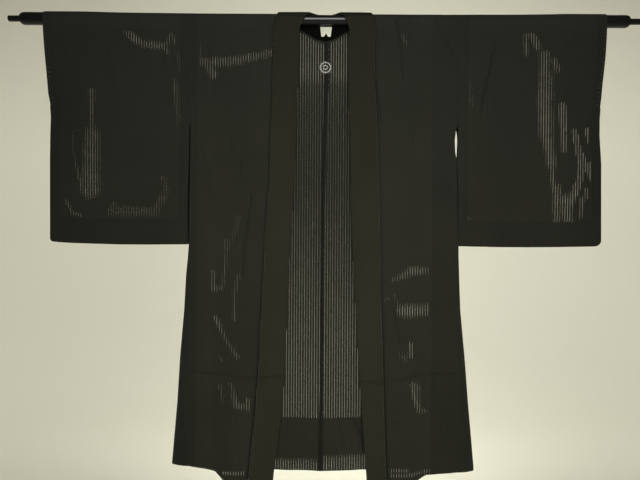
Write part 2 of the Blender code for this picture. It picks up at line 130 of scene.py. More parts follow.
# Where the collar runs down each front: its inner fold and its free outer edge, both from the middle.
FRONT_COLLAR = table(
    "drop left_fold left_edge right_fold right_edge",
    (0.045, 0.0545, 0.1115, 0.0480, 0.1065),
    (0.200, 0.0600, 0.1150, 0.0530, 0.1130),
    (0.357, 0.0655, 0.1196, 0.0583, 0.1191),
    (0.479, 0.0734, 0.1277, 0.0611, 0.1225),
    (0.610, 0.0780, 0.1335, 0.0690, 0.1247),
    (0.772, 0.0838, 0.1413, 0.0780, 0.1305),
    (0.853, 0.0900, 0.1475, 0.0845, 0.1325),
    (0.978, 0.1055, 0.1598, 0.0941, 0.1375),
    (1.020, 0.1100, 0.1640, 0.0975, 0.1390),
)

# Round the neck: the seam to the body and the fold above it, by place and run, from a front to the nape.
NECK = table(
    "seam_x seam_run fold_x fold_run",
    (0.1060, -0.0665, 0.0512, -0.0665),
    (0.1060, -0.0440, 0.0530, -0.0460),
    (0.1015, -0.0210, 0.0480, -0.0300),
    (0.0930, 0.0010, 0.0395, -0.0140),
    (0.0770, 0.0220, 0.0300, -0.0010),
    (0.0470, 0.0430, 0.0150, 0.0060),
    (0.0000, 0.0642, 0.0000, 0.0080),
)
NAPE_RUN = NECK[-1].seam_run

# The left half of the neck stands a little wider, from the nape's row to the first row.
NECK_LEFT_SEAM = 0.002
NECK_LEFT_FOLD = 0.003
NECK_NARROWS = 4.0

# The front hem, by the share of the way from the side seam to the collar. It drops towards the collar.
FRONT_HEM = table(
    "share left right",
    (0.00, 0.969, 0.981),
    (0.25, 0.975, 0.983),
    (0.43, 0.982, 0.987),
    (0.56, 0.999, 1.000),
    (0.70, 1.009, 1.007),
    (0.84, 1.008, 1.010),
    (1.00, 0.997, 1.010),
)

# The back hem, by the share of the way from the side seam to the centre seam
BACK_HEM = table(
    "share left right",
    (0.00, 0.969, 0.981),
    (0.40, 0.978, 0.983),
    (0.70, 0.984, 0.983),
    (1.00, 0.988, 0.988),
)

# Half the width of each side gusset where it hangs outside the side seam.
GUSSET = table(
    "drop left right",
    (0.230, 0.0012, 0.0012),
    (0.310, 0.0020, 0.0020),
    (0.490, 0.0032, 0.0028),
    (0.560, 0.0100, 0.0055),
    (0.630, 0.0136, 0.0086),
    (0.735, 0.0222, 0.0188),
    (0.830, 0.0274, 0.0262),
    (0.972, 0.0388, 0.0388),
)

# The gusset's section: a flat beside the seam, then a curve that grows sharper where it is wide
GUSSET_FLAT = 0.0010
GUSSET_ANGLES = (0, 18, 36, 54, 72)
GUSSET_SHARPENS = 0.8

# The sleeve's outer edge. It steps in where the wrist opening ends.
CUFF = table(
    "drop left right",
    (0.000, 0.6112, 0.6106),
    (0.085, 0.6068, 0.6082),
    (0.137, 0.6045, 0.6056),
    (0.163, 0.6033, 0.6045),
    (0.190, 0.5984, 0.6018),
    (0.213, 0.5964, 0.6000),
    (0.250, 0.5974, 0.5999),
    (0.311, 0.5979, 0.6038),
    (0.500, 0.5968, 0.6046),
)

# The edge of the body and the edge of the sleeve beside it, below the armhole.
SIDE = table(
    "drop left_body right_body left_sleeve right_sleeve",
    (0.215, 0.2895, 0.2895, 0.2895, 0.2895),
    (0.237, 0.2880, 0.2836, 0.2920, 0.2893),
    (0.262, 0.2881, 0.2803, 0.2924, 0.2900),
    (0.285, 0.2882, 0.2812, 0.2927, 0.2890),
    (0.310, 0.2883, 0.2848, 0.2930, 0.2874),
    (0.360, 0.2887, 0.2862, 0.2950, 0.2900),
    (0.400, 0.2890, 0.2872, 0.2962, 0.2912),
    (0.490, 0.2895, 0.2890, 0.2964, 0.2934),
    (1.020, 0.2895, 0.2895, 0.2964, 0.2945),
)

# How much further out the back of each sleeve has its inner edge (less than 0 is further in). BOW_FADE
# says how soon that fades towards the cuff.
BACK_BOW = table(
    "drop left right",
    (0.228, 0.0, 0.0),
    (0.250, 0.0, 0.0026),
    (0.298, 0.0, 0.0028),
    (0.330, 0.0, 0.0),
    (0.350, 0.0, 0.0),
    (0.385, -0.0030, 0.0),
    (0.485, -0.0030, 0.0),
)
BOW_FADE = 6

# The centre back seam leans a little to the left as it falls.
CENTRE_SEAM = table(
    "drop x",
    (0.0415, 0.0000),
    (0.1000, 0.0015),
    (0.3700, -0.0056),
    (0.8300, -0.0074),
    (1.0000, -0.0080),
)

# How far the cloth lies from the rod's axis. It slopes up towards the tubes.
LAY = table(
    "place radius",
    (0.270, BAR_LAY),
    (0.310, BAR_LAY + 0.0004),
    (0.410, BAR_LAY + 0.0009),
    (0.470, BAR_LAY + 0.0017),
    (0.525, TUBE_LAY),
)

# The largest soft folds in the body: a ridge stands out from the jacket, a trough goes in.
FOLDS = table(
    "layer x lean half_width depth starts full",
    (FRONT, -0.258, -0.020, 0.040, 0.0030, 0.30, 0.85),
    (FRONT, -0.195, 0.000, 0.050, 0.0045, 0.55, 1.00),
    (FRONT, -0.215, -0.015, 0.035, -0.0025, 0.25, 0.60),
    (FRONT, 0.240, 0.015, 0.045, 0.0035, 0.35, 0.90),
    (FRONT, 0.180, 0.010, 0.045, 0.0040, 0.60, 1.00),
    (FRONT, 0.205, 0.000, 0.035, -0.0025, 0.20, 0.55),
    (BACK, -0.210, -0.010, 0.060, 0.0040, 0.30, 0.95),
    (BACK, -0.105, 0.005, 0.050, -0.0025, 0.35, 0.90),
    (BACK, -0.030, 0.000, 0.045, 0.0025, 0.50, 1.00),
    (BACK, 0.065, -0.010, 0.050, -0.0025, 0.40, 0.95),
    (BACK, 0.160, 0.015, 0.060, 0.0040, 0.30, 0.90),
)

# Small creases along short lines, each from one end to the other: where, how wide and how deep.
CREASES = table(
    "layer x1 drop1 x2 drop2 half_width depth",
    # the press line where the jacket was folded for the drawer
    (FRONT, -0.305, 0.765, -0.150, 0.783, 0.0065, -0.0011),
    (FRONT, -0.180, 0.780, -0.040, 0.777, 0.0065, -0.0010),
    (FRONT, 0.055, 0.786, 0.175, 0.784, 0.0065, -0.0011),
    (FRONT, 0.140, 0.786, 0.225, 0.769, 0.0070, -0.0012),
    (FRONT, 0.200, 0.770, 0.320, 0.768, 0.0060, -0.0010),
    (BACK, -0.300, 0.800, -0.120, 0.806, 0.0065, -0.0010),
    (BACK, -0.140, 0.806, -0.015, 0.813, 0.0060, -0.0014),
    (BACK, -0.030, 0.810, 0.045, 0.803, 0.0060, -0.0014),
    (BACK, 0.030, 0.803, 0.110, 0.812, 0.0060, -0.0013),
    (BACK, 0.090, 0.811, 0.300, 0.800, 0.0065, -0.0010),
    # slanted pulls from the shoulders and the neck
    (FRONT, 0.148, 0.030, 0.115, 0.330, 0.0110, 0.0012),
    (FRONT, 0.172, 0.060, 0.140, 0.300, 0.0090, -0.0008),
    (FRONT, 0.100, 0.005, 0.121, 0.135, 0.0080, 0.0010),
    (FRONT, 0.358, 0.060, 0.343, 0.245, 0.0120, 0.0014),
    (FRONT, 0.385, 0.045, 0.372, 0.190, 0.0100, -0.0009),
    (FRONT, -0.150, 0.030, -0.128, 0.280, 0.0100, -0.0009),
    (FRONT, -0.232, 0.030, -0.262, 0.210, 0.0120, 0.0012),
    (FRONT, -0.350, 0.040, -0.322, 0.200, 0.0120, 0.0012),
    (FRONT, -0.470, 0.040, -0.440, 0.170, 0.0140, 0.0010),
    (FRONT, 0.505, 0.040, 0.478, 0.160, 0.0130, 0.0010),
    # slack beside the centre back seam
    (BACK, 0.008, 0.450, -0.022, 0.560, 0.0070, 0.0012),
    (BACK, -0.004, 0.590, 0.030, 0.690, 0.0070, 0.0012),
    (BACK, -0.006, 0.700, -0.034, 0.785, 0.0065, -0.0012),
    (BACK, 0.032, 0.795, 0.062, 0.905, 0.0065, 0.0016),
    (BACK, 0.050, 0.850, 0.052, 0.960, 0.0060, -0.0012),
    (BACK, -0.012, 0.845, -0.024, 0.950, 0.0070, 0.0012),
    # hollows above the hems and beside the armholes
    (FRONT, -0.235, 0.830, -0.245, 0.955, 0.0120, -0.0014),
    (FRONT, -0.182, 0.845, -0.172, 0.985, 0.0110, 0.0014),
    (FRONT, 0.262, 0.840, 0.270, 0.965, 0.0120, -0.0013),
    (FRONT, 0.214, 0.655, 0.226, 0.860, 0.0120, 0.0013),
    (FRONT, -0.262, 0.260, -0.226, 0.420, 0.0120, 0.0010),
    (FRONT, 0.256, 0.250, 0.226, 0.400, 0.0120, 0.0010),
    # the hidden back
    (BACK, -0.150, 0.060, -0.105, 0.300, 0.0130, 0.0012),
    (BACK, 0.160, 0.050, 0.118, 0.270, 0.0120, 0.0012),
    (BACK, -0.262, 0.070, -0.236, 0.260, 0.0120, -0.0010),
    (BACK, 0.268, 0.060, 0.240, 0.300, 0.0120, -0.0010),
    (BACK, -0.345, 0.050, -0.330, 0.230, 0.0120, 0.0012),
    (BACK, 0.352, 0.050, 0.330, 0.250, 0.0130, 0.0012),
    (BACK, -0.480, 0.050, -0.452, 0.180, 0.0130, 0.0010),
    (BACK, 0.500, 0.050, 0.470, 0.200, 0.0130, -0.0010),
    (BACK, -0.205, 0.840, -0.215, 0.960, 0.0110, 0.0014),
    (BACK, 0.210, 0.835, 0.224, 0.965, 0.0120, 0.0014),
)
CREASE_FADE = 0.28

# Sharp creases: narrower troughs, with painted shade along their bottom.
SHARP_CREASES = table(
    "layer x1 drop1 x2 drop2 half_width depth shade",
    # slanted pulls in the right front
    (FRONT, 0.153, -0.001, 0.164, 0.062, 0.0052, -0.0010, 0.51),
    (FRONT, 0.164, 0.056, 0.169, 0.134, 0.0047, -0.0009, 0.42),
    (FRONT, 0.108, 0.121, 0.124, 0.233, 0.0056, -0.0010, 0.44),
    (FRONT, 0.261, 0.038, 0.279, 0.086, 0.0047, -0.0008, 0.37),
    (FRONT, 0.307, 0.055, 0.311, 0.098, 0.0052, -0.0008, 0.31),
    (FRONT, 0.185, 0.220, 0.194, 0.306, 0.0065, -0.0008, 0.17),
    (FRONT, 0.141, 0.590, 0.152, 0.640, 0.0050, -0.0008, 0.26),
    (FRONT, 0.151, 0.632, 0.166, 0.705, 0.0050, -0.0008, 0.30),
    # the long crease in the right sleeve
    (FRONT, 0.367, 0.055, 0.351, 0.133, 0.0052, -0.0012, 0.55),
    (FRONT, 0.352, 0.124, 0.336, 0.210, 0.0060, -0.0013, 0.51),
    # slanted pulls in the left front
    (FRONT, -0.156, 0.377, -0.173, 0.498, 0.0065, -0.0011, 0.37),
    (FRONT, -0.173, 0.481, -0.175, 0.567, 0.0060, -0.0009, 0.31),
    (FRONT, -0.202, 0.252, -0.202, 0.291, 0.0052, -0.0008, 0.27),
    (FRONT, -0.180, 0.304, -0.180, 0.347, 0.0047, -0.0008, 0.34),
    (FRONT, -0.300, 0.093, -0.297, 0.201, 0.0056, -0.0008, 0.20),
    # the press line
    (FRONT, -0.296, 0.763, -0.203, 0.775, 0.0060, -0.0008, 0.29),
    (FRONT, -0.210, 0.774, -0.179, 0.784, 0.0060, -0.0008, 0.29),
    (FRONT, -0.184, 0.784, -0.080, 0.773, 0.0060, -0.0008, 0.29),
    (FRONT, 0.075, 0.783, 0.127, 0.789, 0.0060, -0.0008, 0.24),
    (FRONT, 0.123, 0.788, 0.168, 0.785, 0.0060, -0.0008, 0.24),
    (FRONT, 0.164, 0.785, 0.205, 0.771, 0.0060, -0.0008, 0.31),
    (FRONT, 0.198, 0.771, 0.304, 0.766, 0.0060, -0.0008, 0.26),
    # slack in the back's turn-up
    (BACK, 0.061, 0.855, 0.087, 0.917, 0.0065, -0.0014, 0.44),
    (BACK, 0.085, 0.907, 0.089, 0.937, 0.0060, -0.0012, 0.39),
    (BACK, 0.033, 0.868, 0.048, 0.928, 0.0065, -0.0012, 0.24),
    (BACK, 0.039, 0.790, 0.063, 0.864, 0.0060, -0.0012, 0.24),
    (BACK, -0.050, 0.804, -0.058, 0.851, 0.0060, -0.0009, 0.15),
    # the hidden back
    (BACK, 0.145, 0.047, 0.161, 0.168, 0.0065, -0.0010, 0.34),
    (BACK, -0.192, 0.092, -0.167, 0.222, 0.0065, -0.0010, 0.31),
    (BACK, -0.242, 0.352, -0.220, 0.481, 0.0065, -0.0010, 0.31),
    (BACK, 0.229, 0.392, 0.208, 0.526, 0.0065, -0.0010, 0.27),
    (BACK, 0.378, 0.068, 0.348, 0.197, 0.0060, -0.0011, 0.41),
    (BACK, -0.377, 0.093, -0.355, 0.205, 0.0060, -0.0010, 0.34),
)
SHADE_WIDTH = 0.70
SHARP_FADE = 0.12

# The sleeve's bottom edge, by the share of the way from the armhole to the cuff. It sags a little.
SLEEVE_BOTTOM = table(
    "share left right",
    (0.00, 0.4902, 0.4914),
    (0.30, 0.4912, 0.4928),
    (0.50, 0.4912, 0.4928),
    (0.70, 0.4897, 0.4920),
    (0.85, 0.4884, 0.4910),
    (1.00, 0.4860, 0.4900),
)

# The sleeves: the radius of the lower corner, how far above the bottom and in from the cuff the two
# layers start to close together, where the cuff starts to be sewn, and how softly they close
SLEEVE_CORNER = {LEFT: 0.008, RIGHT: 0.013}
SLEEVE_PINCH = 0.27
CUFF_PINCH = 0.16
CUFF_MOUTH_STARTS = 0.03
PINCH_POWER = 2.4

# The label inside the nape
LABEL_MIDDLE = 0.0025
LABEL_TOP_HALF = 0.0130
LABEL_FOOT_HALF = 0.0102
LABEL_TOP_DROP = 0.0112
LABEL_FOOT_DROP = 0.0323
LABEL_NOTCH_HALF = 0.0044
LABEL_NOTCH = 0.0070
LABEL_THICK = 0.0010
LABEL_GAP = 0.0006

# Seam allowances, as widths of doubled cloth without see-through slits
SLEEVE_BOTTOM_ALLOWANCE = 0.054
SLEEVE_CUFF_ALLOWANCE = 0.020
SLEEVE_ARMHOLE_ALLOWANCE = 0.020
SIDE_ALLOWANCE = {LEFT: 0.012, RIGHT: 0.055}
CENTRE_ALLOWANCE = {LEFT: 0.0008, RIGHT: 0.0085}
NECK_ALLOWANCE = 0.004

# How far outside the see-through part the gussets and the collar count as lying: they have no slits
GUSSET_CLEAR = -0.01
COLLAR_CLEAR = -1.0

# On the back's turn-up the slits of the two layers agree next to the fold and part further up.
TURN_UP_SHIFT = 0.5
TURN_UP_MATCHED = {LEFT: 0.010, RIGHT: 0.022}
TURN_UP_SHIFTED = 0.085

# Painted shade on the collar's under layer round the nape, where it lies in shadow under the rod, by the run
# of its seam
NAPE_SHADE_ENDS = -0.075
NAPE_SHADE_FULL = -0.045
NAPE_SHADE_COLUMNS = COLLAR_COLUMNS + 2

# The shade beside the collar's free edge: its reach from the edge, and its depth down the front
COLLAR_SHADE_REACH = 0.0060
COLLAR_SHADE_FULL = 0.0008
COLLAR_SHADE = table(
    "drop depth",
    (0.050, 0.34),
    (0.450, 0.42),
    (0.650, 0.52),
    (0.850, 0.78),
)

# How light painted shade leaves the back of a sleeve inside the gap beside the body, where it lies in
# shadow, and how far in that reaches
GAP_SHADE = 0.40
GAP_REACH = 0.012

# Small roundings
LABEL_BEVEL = 0.00025
ROD_EASE = 0.0006
ROD_SHOULDER_RADIUS = TUBE_RADIUS - ROD_CHAMFER / 3
ROD_SHARP_ANGLE = 40

# How far open the slits are down the middle of the back, as a share of their full width, and how light
# painted shade leaves the cloth there, where the back's inside lies in shadow, as a share of its own
# lightness. Both fade out between two distances from the middle.
MIDDLE_FULL = 0.110
MIDDLE_ENDS = 0.135
SHEER = table(
    "drop share shade",
    (0.045, 0.58, 0.80),
    (0.085, 0.56, 0.80),
    (0.115, 0.62, 0.80),
    (0.140, 0.25, 0.76),
    (0.206, 0.16, 0.72),
    (0.370, 0.15, 0.74),
    (0.480, 0.24, 0.82),
    (0.600, 0.38, 0.94),
    (0.700, 0.49, 1.00),
    (0.860, 0.52, 1.00),
    (0.950, 0.58, 1.00),
)

# The slits are closed where the cloth lies against the rod.
ROD_REACH = 0.0200
ROD_LEFT = 0.0245

# Where the slits of the back come into line with those of the front, as short strokes: both ends,
# how far the stroke reaches to each side, and how far open the slits are along its middle.
MATCHES = table(
    "x1 drop1 x2 drop2 half_width opened",
    # the left sleeve
    (-0.434, 0.020, -0.416, 0.044, 0.0111, 0.68),
    (-0.416, 0.044, -0.393, 0.058, 0.0116, 0.68),
    (-0.393, 0.058, -0.349, 0.063, 0.0111, 0.66),
    (-0.352, 0.063, -0.341, 0.074, 0.0082, 0.50),
    (-0.339, 0.054, -0.332, 0.039, 0.0068, 0.50),
    (-0.332, 0.039, -0.324, 0.054, 0.0068, 0.45),
    (-0.321, 0.071, -0.306, 0.132, 0.0073, 0.12),
    (-0.319, 0.136, -0.316, 0.231, 0.0068, 0.08),
    (-0.504, 0.161, -0.504, 0.241, 0.0131, 0.72),
    (-0.508, 0.254, -0.512, 0.368, 0.0363, 0.80),
    (-0.549, 0.245, -0.528, 0.247, 0.0082, 0.90),
    (-0.547, 0.247, -0.542, 0.301, 0.0082, 0.95),
    (-0.542, 0.301, -0.527, 0.368, 0.0092, 0.92),
    (-0.525, 0.368, -0.494, 0.372, 0.0102, 0.80),
    (-0.466, 0.426, -0.455, 0.404, 0.0077, 0.26),
    (-0.455, 0.420, -0.365, 0.419, 0.0135, 0.24),
    (-0.365, 0.417, -0.348, 0.387, 0.0106, 0.20),
    (-0.348, 0.348, -0.341, 0.374, 0.0087, 0.20),
    (-0.561, 0.396, -0.546, 0.424, 0.0073, 0.90),
    (-0.546, 0.424, -0.529, 0.429, 0.0073, 0.80),
    (-0.593, 0.019, -0.591, 0.043, 0.0073, 0.90),
    # the right sleeve
    (0.433, 0.020, 0.435, 0.076, 0.0077, 0.80),
    (0.440, 0.026, 0.460, 0.059, 0.0131, 0.90),
    (0.476, 0.080, 0.475, 0.175, 0.0208, 0.75),
    (0.492, 0.089, 0.503, 0.106, 0.0131, 0.65),
    (0.473, 0.175, 0.476, 0.248, 0.0203, 0.76),
    (0.478, 0.248, 0.489, 0.313, 0.0145, 0.72),
    (0.491, 0.313, 0.496, 0.369, 0.0070, 0.70),
    (0.503, 0.365, 0.505, 0.436, 0.0121, 0.76),
    (0.522, 0.391, 0.529, 0.436, 0.0157, 0.72),
    (0.535, 0.401, 0.546, 0.360, 0.0082, 0.64),
    (0.513, 0.188, 0.517, 0.235, 0.0097, 0.62),
    (0.515, 0.235, 0.518, 0.283, 0.0065, 0.38),
    (0.541, 0.242, 0.547, 0.265, 0.0068, 0.50),
    (0.547, 0.265, 0.554, 0.300, 0.0068, 0.54),
    (0.556, 0.296, 0.563, 0.321, 0.0092, 0.62),
    (0.558, 0.321, 0.552, 0.356, 0.0077, 0.56),
    (0.552, 0.356, 0.546, 0.378, 0.0068, 0.52),
    (0.571, 0.239, 0.578, 0.263, 0.0065, 0.26),
    (0.578, 0.313, 0.580, 0.343, 0.0065, 0.26),
    (0.569, 0.369, 0.570, 0.382, 0.0065, 0.24),
    (0.561, 0.388, 0.557, 0.427, 0.0065, 0.36),
    (0.590, 0.017, 0.594, 0.049, 0.0068, 0.80),
    (0.298, 0.416, 0.317, 0.437, 0.0097, 0.24),
    (0.292, 0.120, 0.307, 0.129, 0.0082, 0.26),
    (0.305, 0.133, 0.322, 0.189, 0.0131, 0.25),
    # the left front
    (-0.274, 0.056, -0.272, 0.080, 0.0065, 0.24),
    (-0.269, 0.093, -0.243, 0.099, 0.0121, 0.54),
    (-0.250, 0.106, -0.241, 0.123, 0.0135, 0.66),
    (-0.237, 0.097, -0.183, 0.092, 0.0140, 0.62),
    (-0.183, 0.090, -0.108, 0.075, 0.0121, 0.60),
    (-0.186, 0.433, -0.205, 0.494, 0.0102, 0.17),
    (-0.211, 0.481, -0.213, 0.533, 0.0073, 0.32),
    (-0.213, 0.528, -0.217, 0.572, 0.0068, 0.34),
    (-0.219, 0.584, -0.237, 0.587, 0.0087, 0.42),
    (-0.240, 0.550, -0.239, 0.585, 0.0068, 0.34),
    (-0.185, 0.558, -0.191, 0.593, 0.0073, 0.22),
    (-0.194, 0.589, -0.194, 0.653, 0.0065, 0.28),
    (-0.234, 0.649, -0.221, 0.675, 0.0077, 0.65),
    (-0.221, 0.675, -0.210, 0.699, 0.0068, 0.55),
    (-0.206, 0.705, -0.186, 0.733, 0.0073, 0.42),
    (-0.227, 0.733, -0.218, 0.744, 0.0068, 0.30),
    (-0.300, 0.801, -0.300, 0.812, 0.0065, 0.30),
    (-0.223, 0.794, -0.216, 0.833, 0.0073, 0.40),
    (-0.201, 0.792, -0.188, 0.837, 0.0082, 0.38),
    (-0.186, 0.839, -0.162, 0.841, 0.0087, 0.42),
    (-0.164, 0.826, -0.162, 0.845, 0.0068, 0.40),
    # the right front
    (0.152, 0.565, 0.167, 0.559, 0.0102, 0.42),
    (0.167, 0.557, 0.191, 0.548, 0.0111, 0.52),
    (0.191, 0.546, 0.232, 0.545, 0.0135, 0.56),
    (0.133, 0.609, 0.154, 0.600, 0.0073, 0.30),
    (0.154, 0.604, 0.165, 0.626, 0.0065, 0.24),
    (0.169, 0.632, 0.234, 0.632, 0.0179, 0.84),
    (0.226, 0.627, 0.234, 0.632, 0.0193, 0.84),
    (0.247, 0.610, 0.247, 0.625, 0.0065, 0.15),
    (0.189, 0.703, 0.190, 0.731, 0.0065, 0.74),
    (0.166, 0.727, 0.174, 0.734, 0.0111, 0.24),
    (0.194, 0.792, 0.198, 0.820, 0.0073, 0.58),
    (0.198, 0.820, 0.207, 0.848, 0.0077, 0.58),
    (0.207, 0.848, 0.240, 0.848, 0.0073, 0.42),
    (0.205, 0.794, 0.206, 0.837, 0.0065, 0.34),
    (0.166, 0.032, 0.175, 0.054, 0.0077, 0.30),
    (0.276, 0.826, 0.278, 0.834, 0.0065, 0.25),
)

# Where the slits of a front's turn-up come into line with those of the front itself.
HEM_MATCHES = table(
    "x1 drop1 x2 drop2 half_width opened",
    # the left hem
    (-0.213, 0.985, -0.172, 0.985, 0.0060, 0.88),
    # the right hem
    (0.147, 0.978, 0.184, 0.977, 0.0060, 0.82),
    (0.148, 0.990, 0.189, 0.988, 0.0056, 0.80),
    (0.189, 0.988, 0.227, 0.978, 0.0056, 0.72),
    (0.227, 0.978, 0.251, 0.974, 0.0056, 0.62),
)
MATCH_CORE = 0.2
MATCH_FADE = 1.75

# The weave: its threads and its unevenness, which is drawn out along the yarn
WARP_PITCH = 0.00042
WEFT_PITCH = 0.00036
YARN_STRETCH = (1500.0, 70.0, 1.0)
CROSS_YARN_STRETCH = (60.0, 1300.0, 1.0)
MOTTLE_SCALE = 7.0
GAUZE_COLOUR = (0.0158, 0.0160, 0.0106)
BAND_COLOUR = (0.0215, 0.0218, 0.0150)
BLACK_THREAD = (0.0060, 0.0060, 0.0050)
PALE_THREAD = (0.80, 0.80, 0.68)
LABEL_COLOUR = (0.80, 0.80, 0.66)
ROD_COLOUR = (0.006, 0.006, 0.006)
WALL_COLOUR = (0.80, 0.79, 0.67)

# How the yarn, its crossing yarn, a soft mottling and the threads change the cloth's tone, each from its
# darkest share to its lightest, and what the yarn does to the roughness and height. The threads' tone is
# painted shade, darker between two threads.
YARN_TONE = (0.80, 1.20)
CROSS_YARN_TONE = (0.90, 1.10)
MOTTLE_TONE = (0.86, 1.14)
THREAD_SHADE = (0.88, 1.06)
YARN_ROUGHNESS = (0.80, 0.96)
YARN_HEIGHT = 0.6
MOTTLE_DETAIL = 3.0

# The twist of the sewing threads, which changes their tone and roughness
TWIST_SCALE = 2600.0
TWIST_TONE = (0.75, 1.20)
TWIST_ROUGHNESS = (0.60, 0.85)

# The label's ribbon: its threads, with painted shade between them, how it is soiled, and its fine unevenness
RIBBON_WARP_PITCH = 0.00045
RIBBON_WEFT_PITCH = 0.00030
RIBBON_SCALE = 1800.0
RIBBON_TONE = (0.93, 1.05)
RIBBON_THREAD_SHADE = (0.90, 1.02)
SOIL_SCALE = 120.0
SOIL_DETAIL = 3.0
SOIL_TONE = (0.88, 1.05)
SOIL_ROUGHNESS = (0.72, 0.88)

# The rod's paint: rubbed along its length, with a fine orange peel and dust
RUB_STRETCH = (14.0, 260.0, 260.0)
RUB_DETAIL = 4.0
RUB_ROUGHNESS = (0.24, 0.34)
PEEL_SCALE = 420.0
DUST_SCALE = 38.0
DUST_DETAIL = 5.0
DUST_TONE = (0.70, 1.40)
DUST_ROUGHNESS = (-0.03, 0.03)

# The relief of each surface: its strength and its height in metres
CLOTH_RELIEF = (0.35, 0.0002)
TWIST_RELIEF = (0.40, 0.0001)
RIBBON_RELIEF = (0.40, 0.00015)
PEEL_RELIEF = (0.06, 0.0003)

# The backdrop's soft unevenness
BACKDROP_SCALE = 0.6
BACKDROP_TONE = (0.97, 1.03)

# A closed slit shows as a darker groove, painted shade where it looks onto the shaded layer beneath; doubled
# cloth gets painted shade, as no light comes through it; and the edge of a seam allowance shows as a thin
# dark line.
GROOVE_WIDTH = 1.9
GROOVE_DEPTH = 0.40
BAND_GROOVE_DEPTH = 0.20
PATCH_SCALE = 9.0
ALLOWANCE_LINE = 0.0009
ALLOWANCE_SHADE = 0.78
EDGE_SHADE = 0.6

# The centre seam's own shadow on its turned allowance
CENTRE_SHADE = 0.50
CENTRE_SHADE_X = -0.0026
CENTRE_SHADE_REACH = 0.0066
CENTRE_SHADE_FULL = 0.0024

# How light the painted shade leaves the collar's under layer round the nape
SHADED_NAPE_LIGHTNESS = 0.08

# Drawn lines of stitches: their points, and how far they start off the cloth or off the middle plane
LINE_POINTS = 160
LINE_LIFT = WALL / 2 + 0.0012
SLEEVE_LINE_DEPTH = 0.020
LABEL_LINE_LIFT = 0.001

# Where they run: distances from an edge (at the label's notch that many times more), and the first
# and last drop or share of each line
FELL_INSET = 0.0012
CUFF_HEM = 0.0055
LABEL_EDGE = 0.0011
NOTCH_EDGE = 1.5
TURN_UP_STITCH = TURN_UP - 0.003
TURN_UP_LINE = (0.02, 0.98)
SIDE_LINE = (0.020, 0.850)
CENTRE_LINE = (0.060, 0.860)
CUFF_LINE = (0.010, CUFF_OPENING - 0.006)
BOTTOM_LINE = (0.03, 0.93)

# The kinds of stitches: the distance between two, a thread's length and radius, its slant, and how
# uneven they are. The seed is the number their unevenness is drawn from.
Stitch = namedtuple("Stitch", "pitch length radius slant unevenness seed")
BODY_STITCH = Stitch(0.011, 0.0016, 0.00016, 0.3, 0.25, 3)
SLEEVE_STITCH = Stitch(0.009, 0.0016, 0.00016, 0.3, 0.25, 7)
COLLAR_STITCH = Stitch(0.0065, 0.0018, 0.00016, 0.9, 0.20, 11)
LABEL_STITCH = Stitch(0.0019, 0.0015, 0.00018, 1.0, 0.15, 5)
OUTER_STITCH = Stitch(0.0029, 0.0040, 0.00078, math.pi / 2, 0.06, 17)
INNER_STITCH = Stitch(0.0024, 0.0034, 0.00066, math.pi / 2, 0.06, 17)
STITCH_SOCKETS = {
    "cloth": "NodeSocketObject",
    "pitch": "NodeSocketFloat",
    "length": "NodeSocketFloat",
    "radius": "NodeSocketFloat",
    "slant": "NodeSocketFloat",
    "unevenness": "NodeSocketFloat",
    "seed": "NodeSocketInt",
    "thread": "NodeSocketMaterial",
}

# The roundel where a family crest would be: its middle, and the radius and stitches of each ring
ROUNDEL_X = 0.0018
ROUNDEL_DROP = 0.0998
ROUNDEL_ARC = 0.985
ROUNDEL_POINTS = 40
ROUNDEL = ((0.0112, OUTER_STITCH), (0.0045, INNER_STITCH))

# The camera stands level in front of the jacket, a little to its left, and leans by a trifle. The
# frame's width is measured on the plane of the fronts.
CAMERA_X = -0.00834
CAMERA_HEIGHT = -0.4798
CAMERA_DISTANCE = 1.25
CAMERA_ROLL = 0.00524
FRONT_PLANE = -0.014
FRAME_WIDTH = 1.3812
SENSOR_WIDTH = 36.0
CAMERA_NEAR = 0.01

# The studio: each lamp's size, place, aim and power, and whether it lights things and shines on them
LAMPS = table(
    "name size place aim power lights shines",
    ("window", (1.0, 0.7), (0.05, -1.50, 0.36), (0.02, 0.0, -0.40), 25.0, False, True),
    ("near_right", (0.5, 0.5), (0.12, -0.80, -0.35), (0.12, 0.0, -0.35), 1.6, True, False),
    ("near_middle", (0.6, 0.6), (0.0, -1.00, -0.35), (0.0, 0.0, -0.35), 5.0, True, False),
    ("near_low", (0.7, 0.7), (0.10, -0.90, -0.85), (0.10, 0.0, -0.80), 5.6, True, False),
    ("wall_left", (1.6, 1.6), (-3.2, 0.9, 0.3), (-1.0, 3.4, -0.9), 28.0, True, False),
    ("wall_right", (1.6, 1.6), (3.2, 0.9, 0.3), (1.2, 3.4, -0.6), 27.0, True, False),
    ("wall_high", (1.6, 1.0), (0.3, 0.8, 0.6), (0.3, 3.4, 0.9), 29.0, True, False),
    ("wall_middle", (1.0, 1.0), (0.1, 0.8, -0.5), (0.1, 3.4, -0.6), 17.5, True, False),
    ("back", (1.6, 1.0), (0.2, 1.5, 0.6), (0.0, 0.0, -0.4), 10.0, True, False),
)
LAMP_COLOUR = (1.0, 0.99, 0.94)
WORLD_COLOUR = (0.072, 0.071, 0.060)
FLOOR = -1.45
SWEEP_FRONT = -6.0
SWEEP_BACK = 3.4
SWEEP_RADIUS = 1.6
SWEEP_TOP = 5.0
SWEEP_HALF_WIDTH = 7.0


def smoothstep(start, end, value):
    """0 before start, 1 after end, and a soft S between them."""
    share = np.clip((value - start) / (end - start), 0.0, 1.0)
    return share * share * (3 - 2 * share)


def between(first, second, share):
    """The value a share of the way from the first to the second."""
    return first + (second - first) * share


def look_up(rows, key, column, value):
    """Reads a column of a table at values of its key column, on straight lines between its rows."""
    keys = [getattr(row, key) for row in rows]
    return np.interp(value, keys, [getattr(row, column) for row in rows])


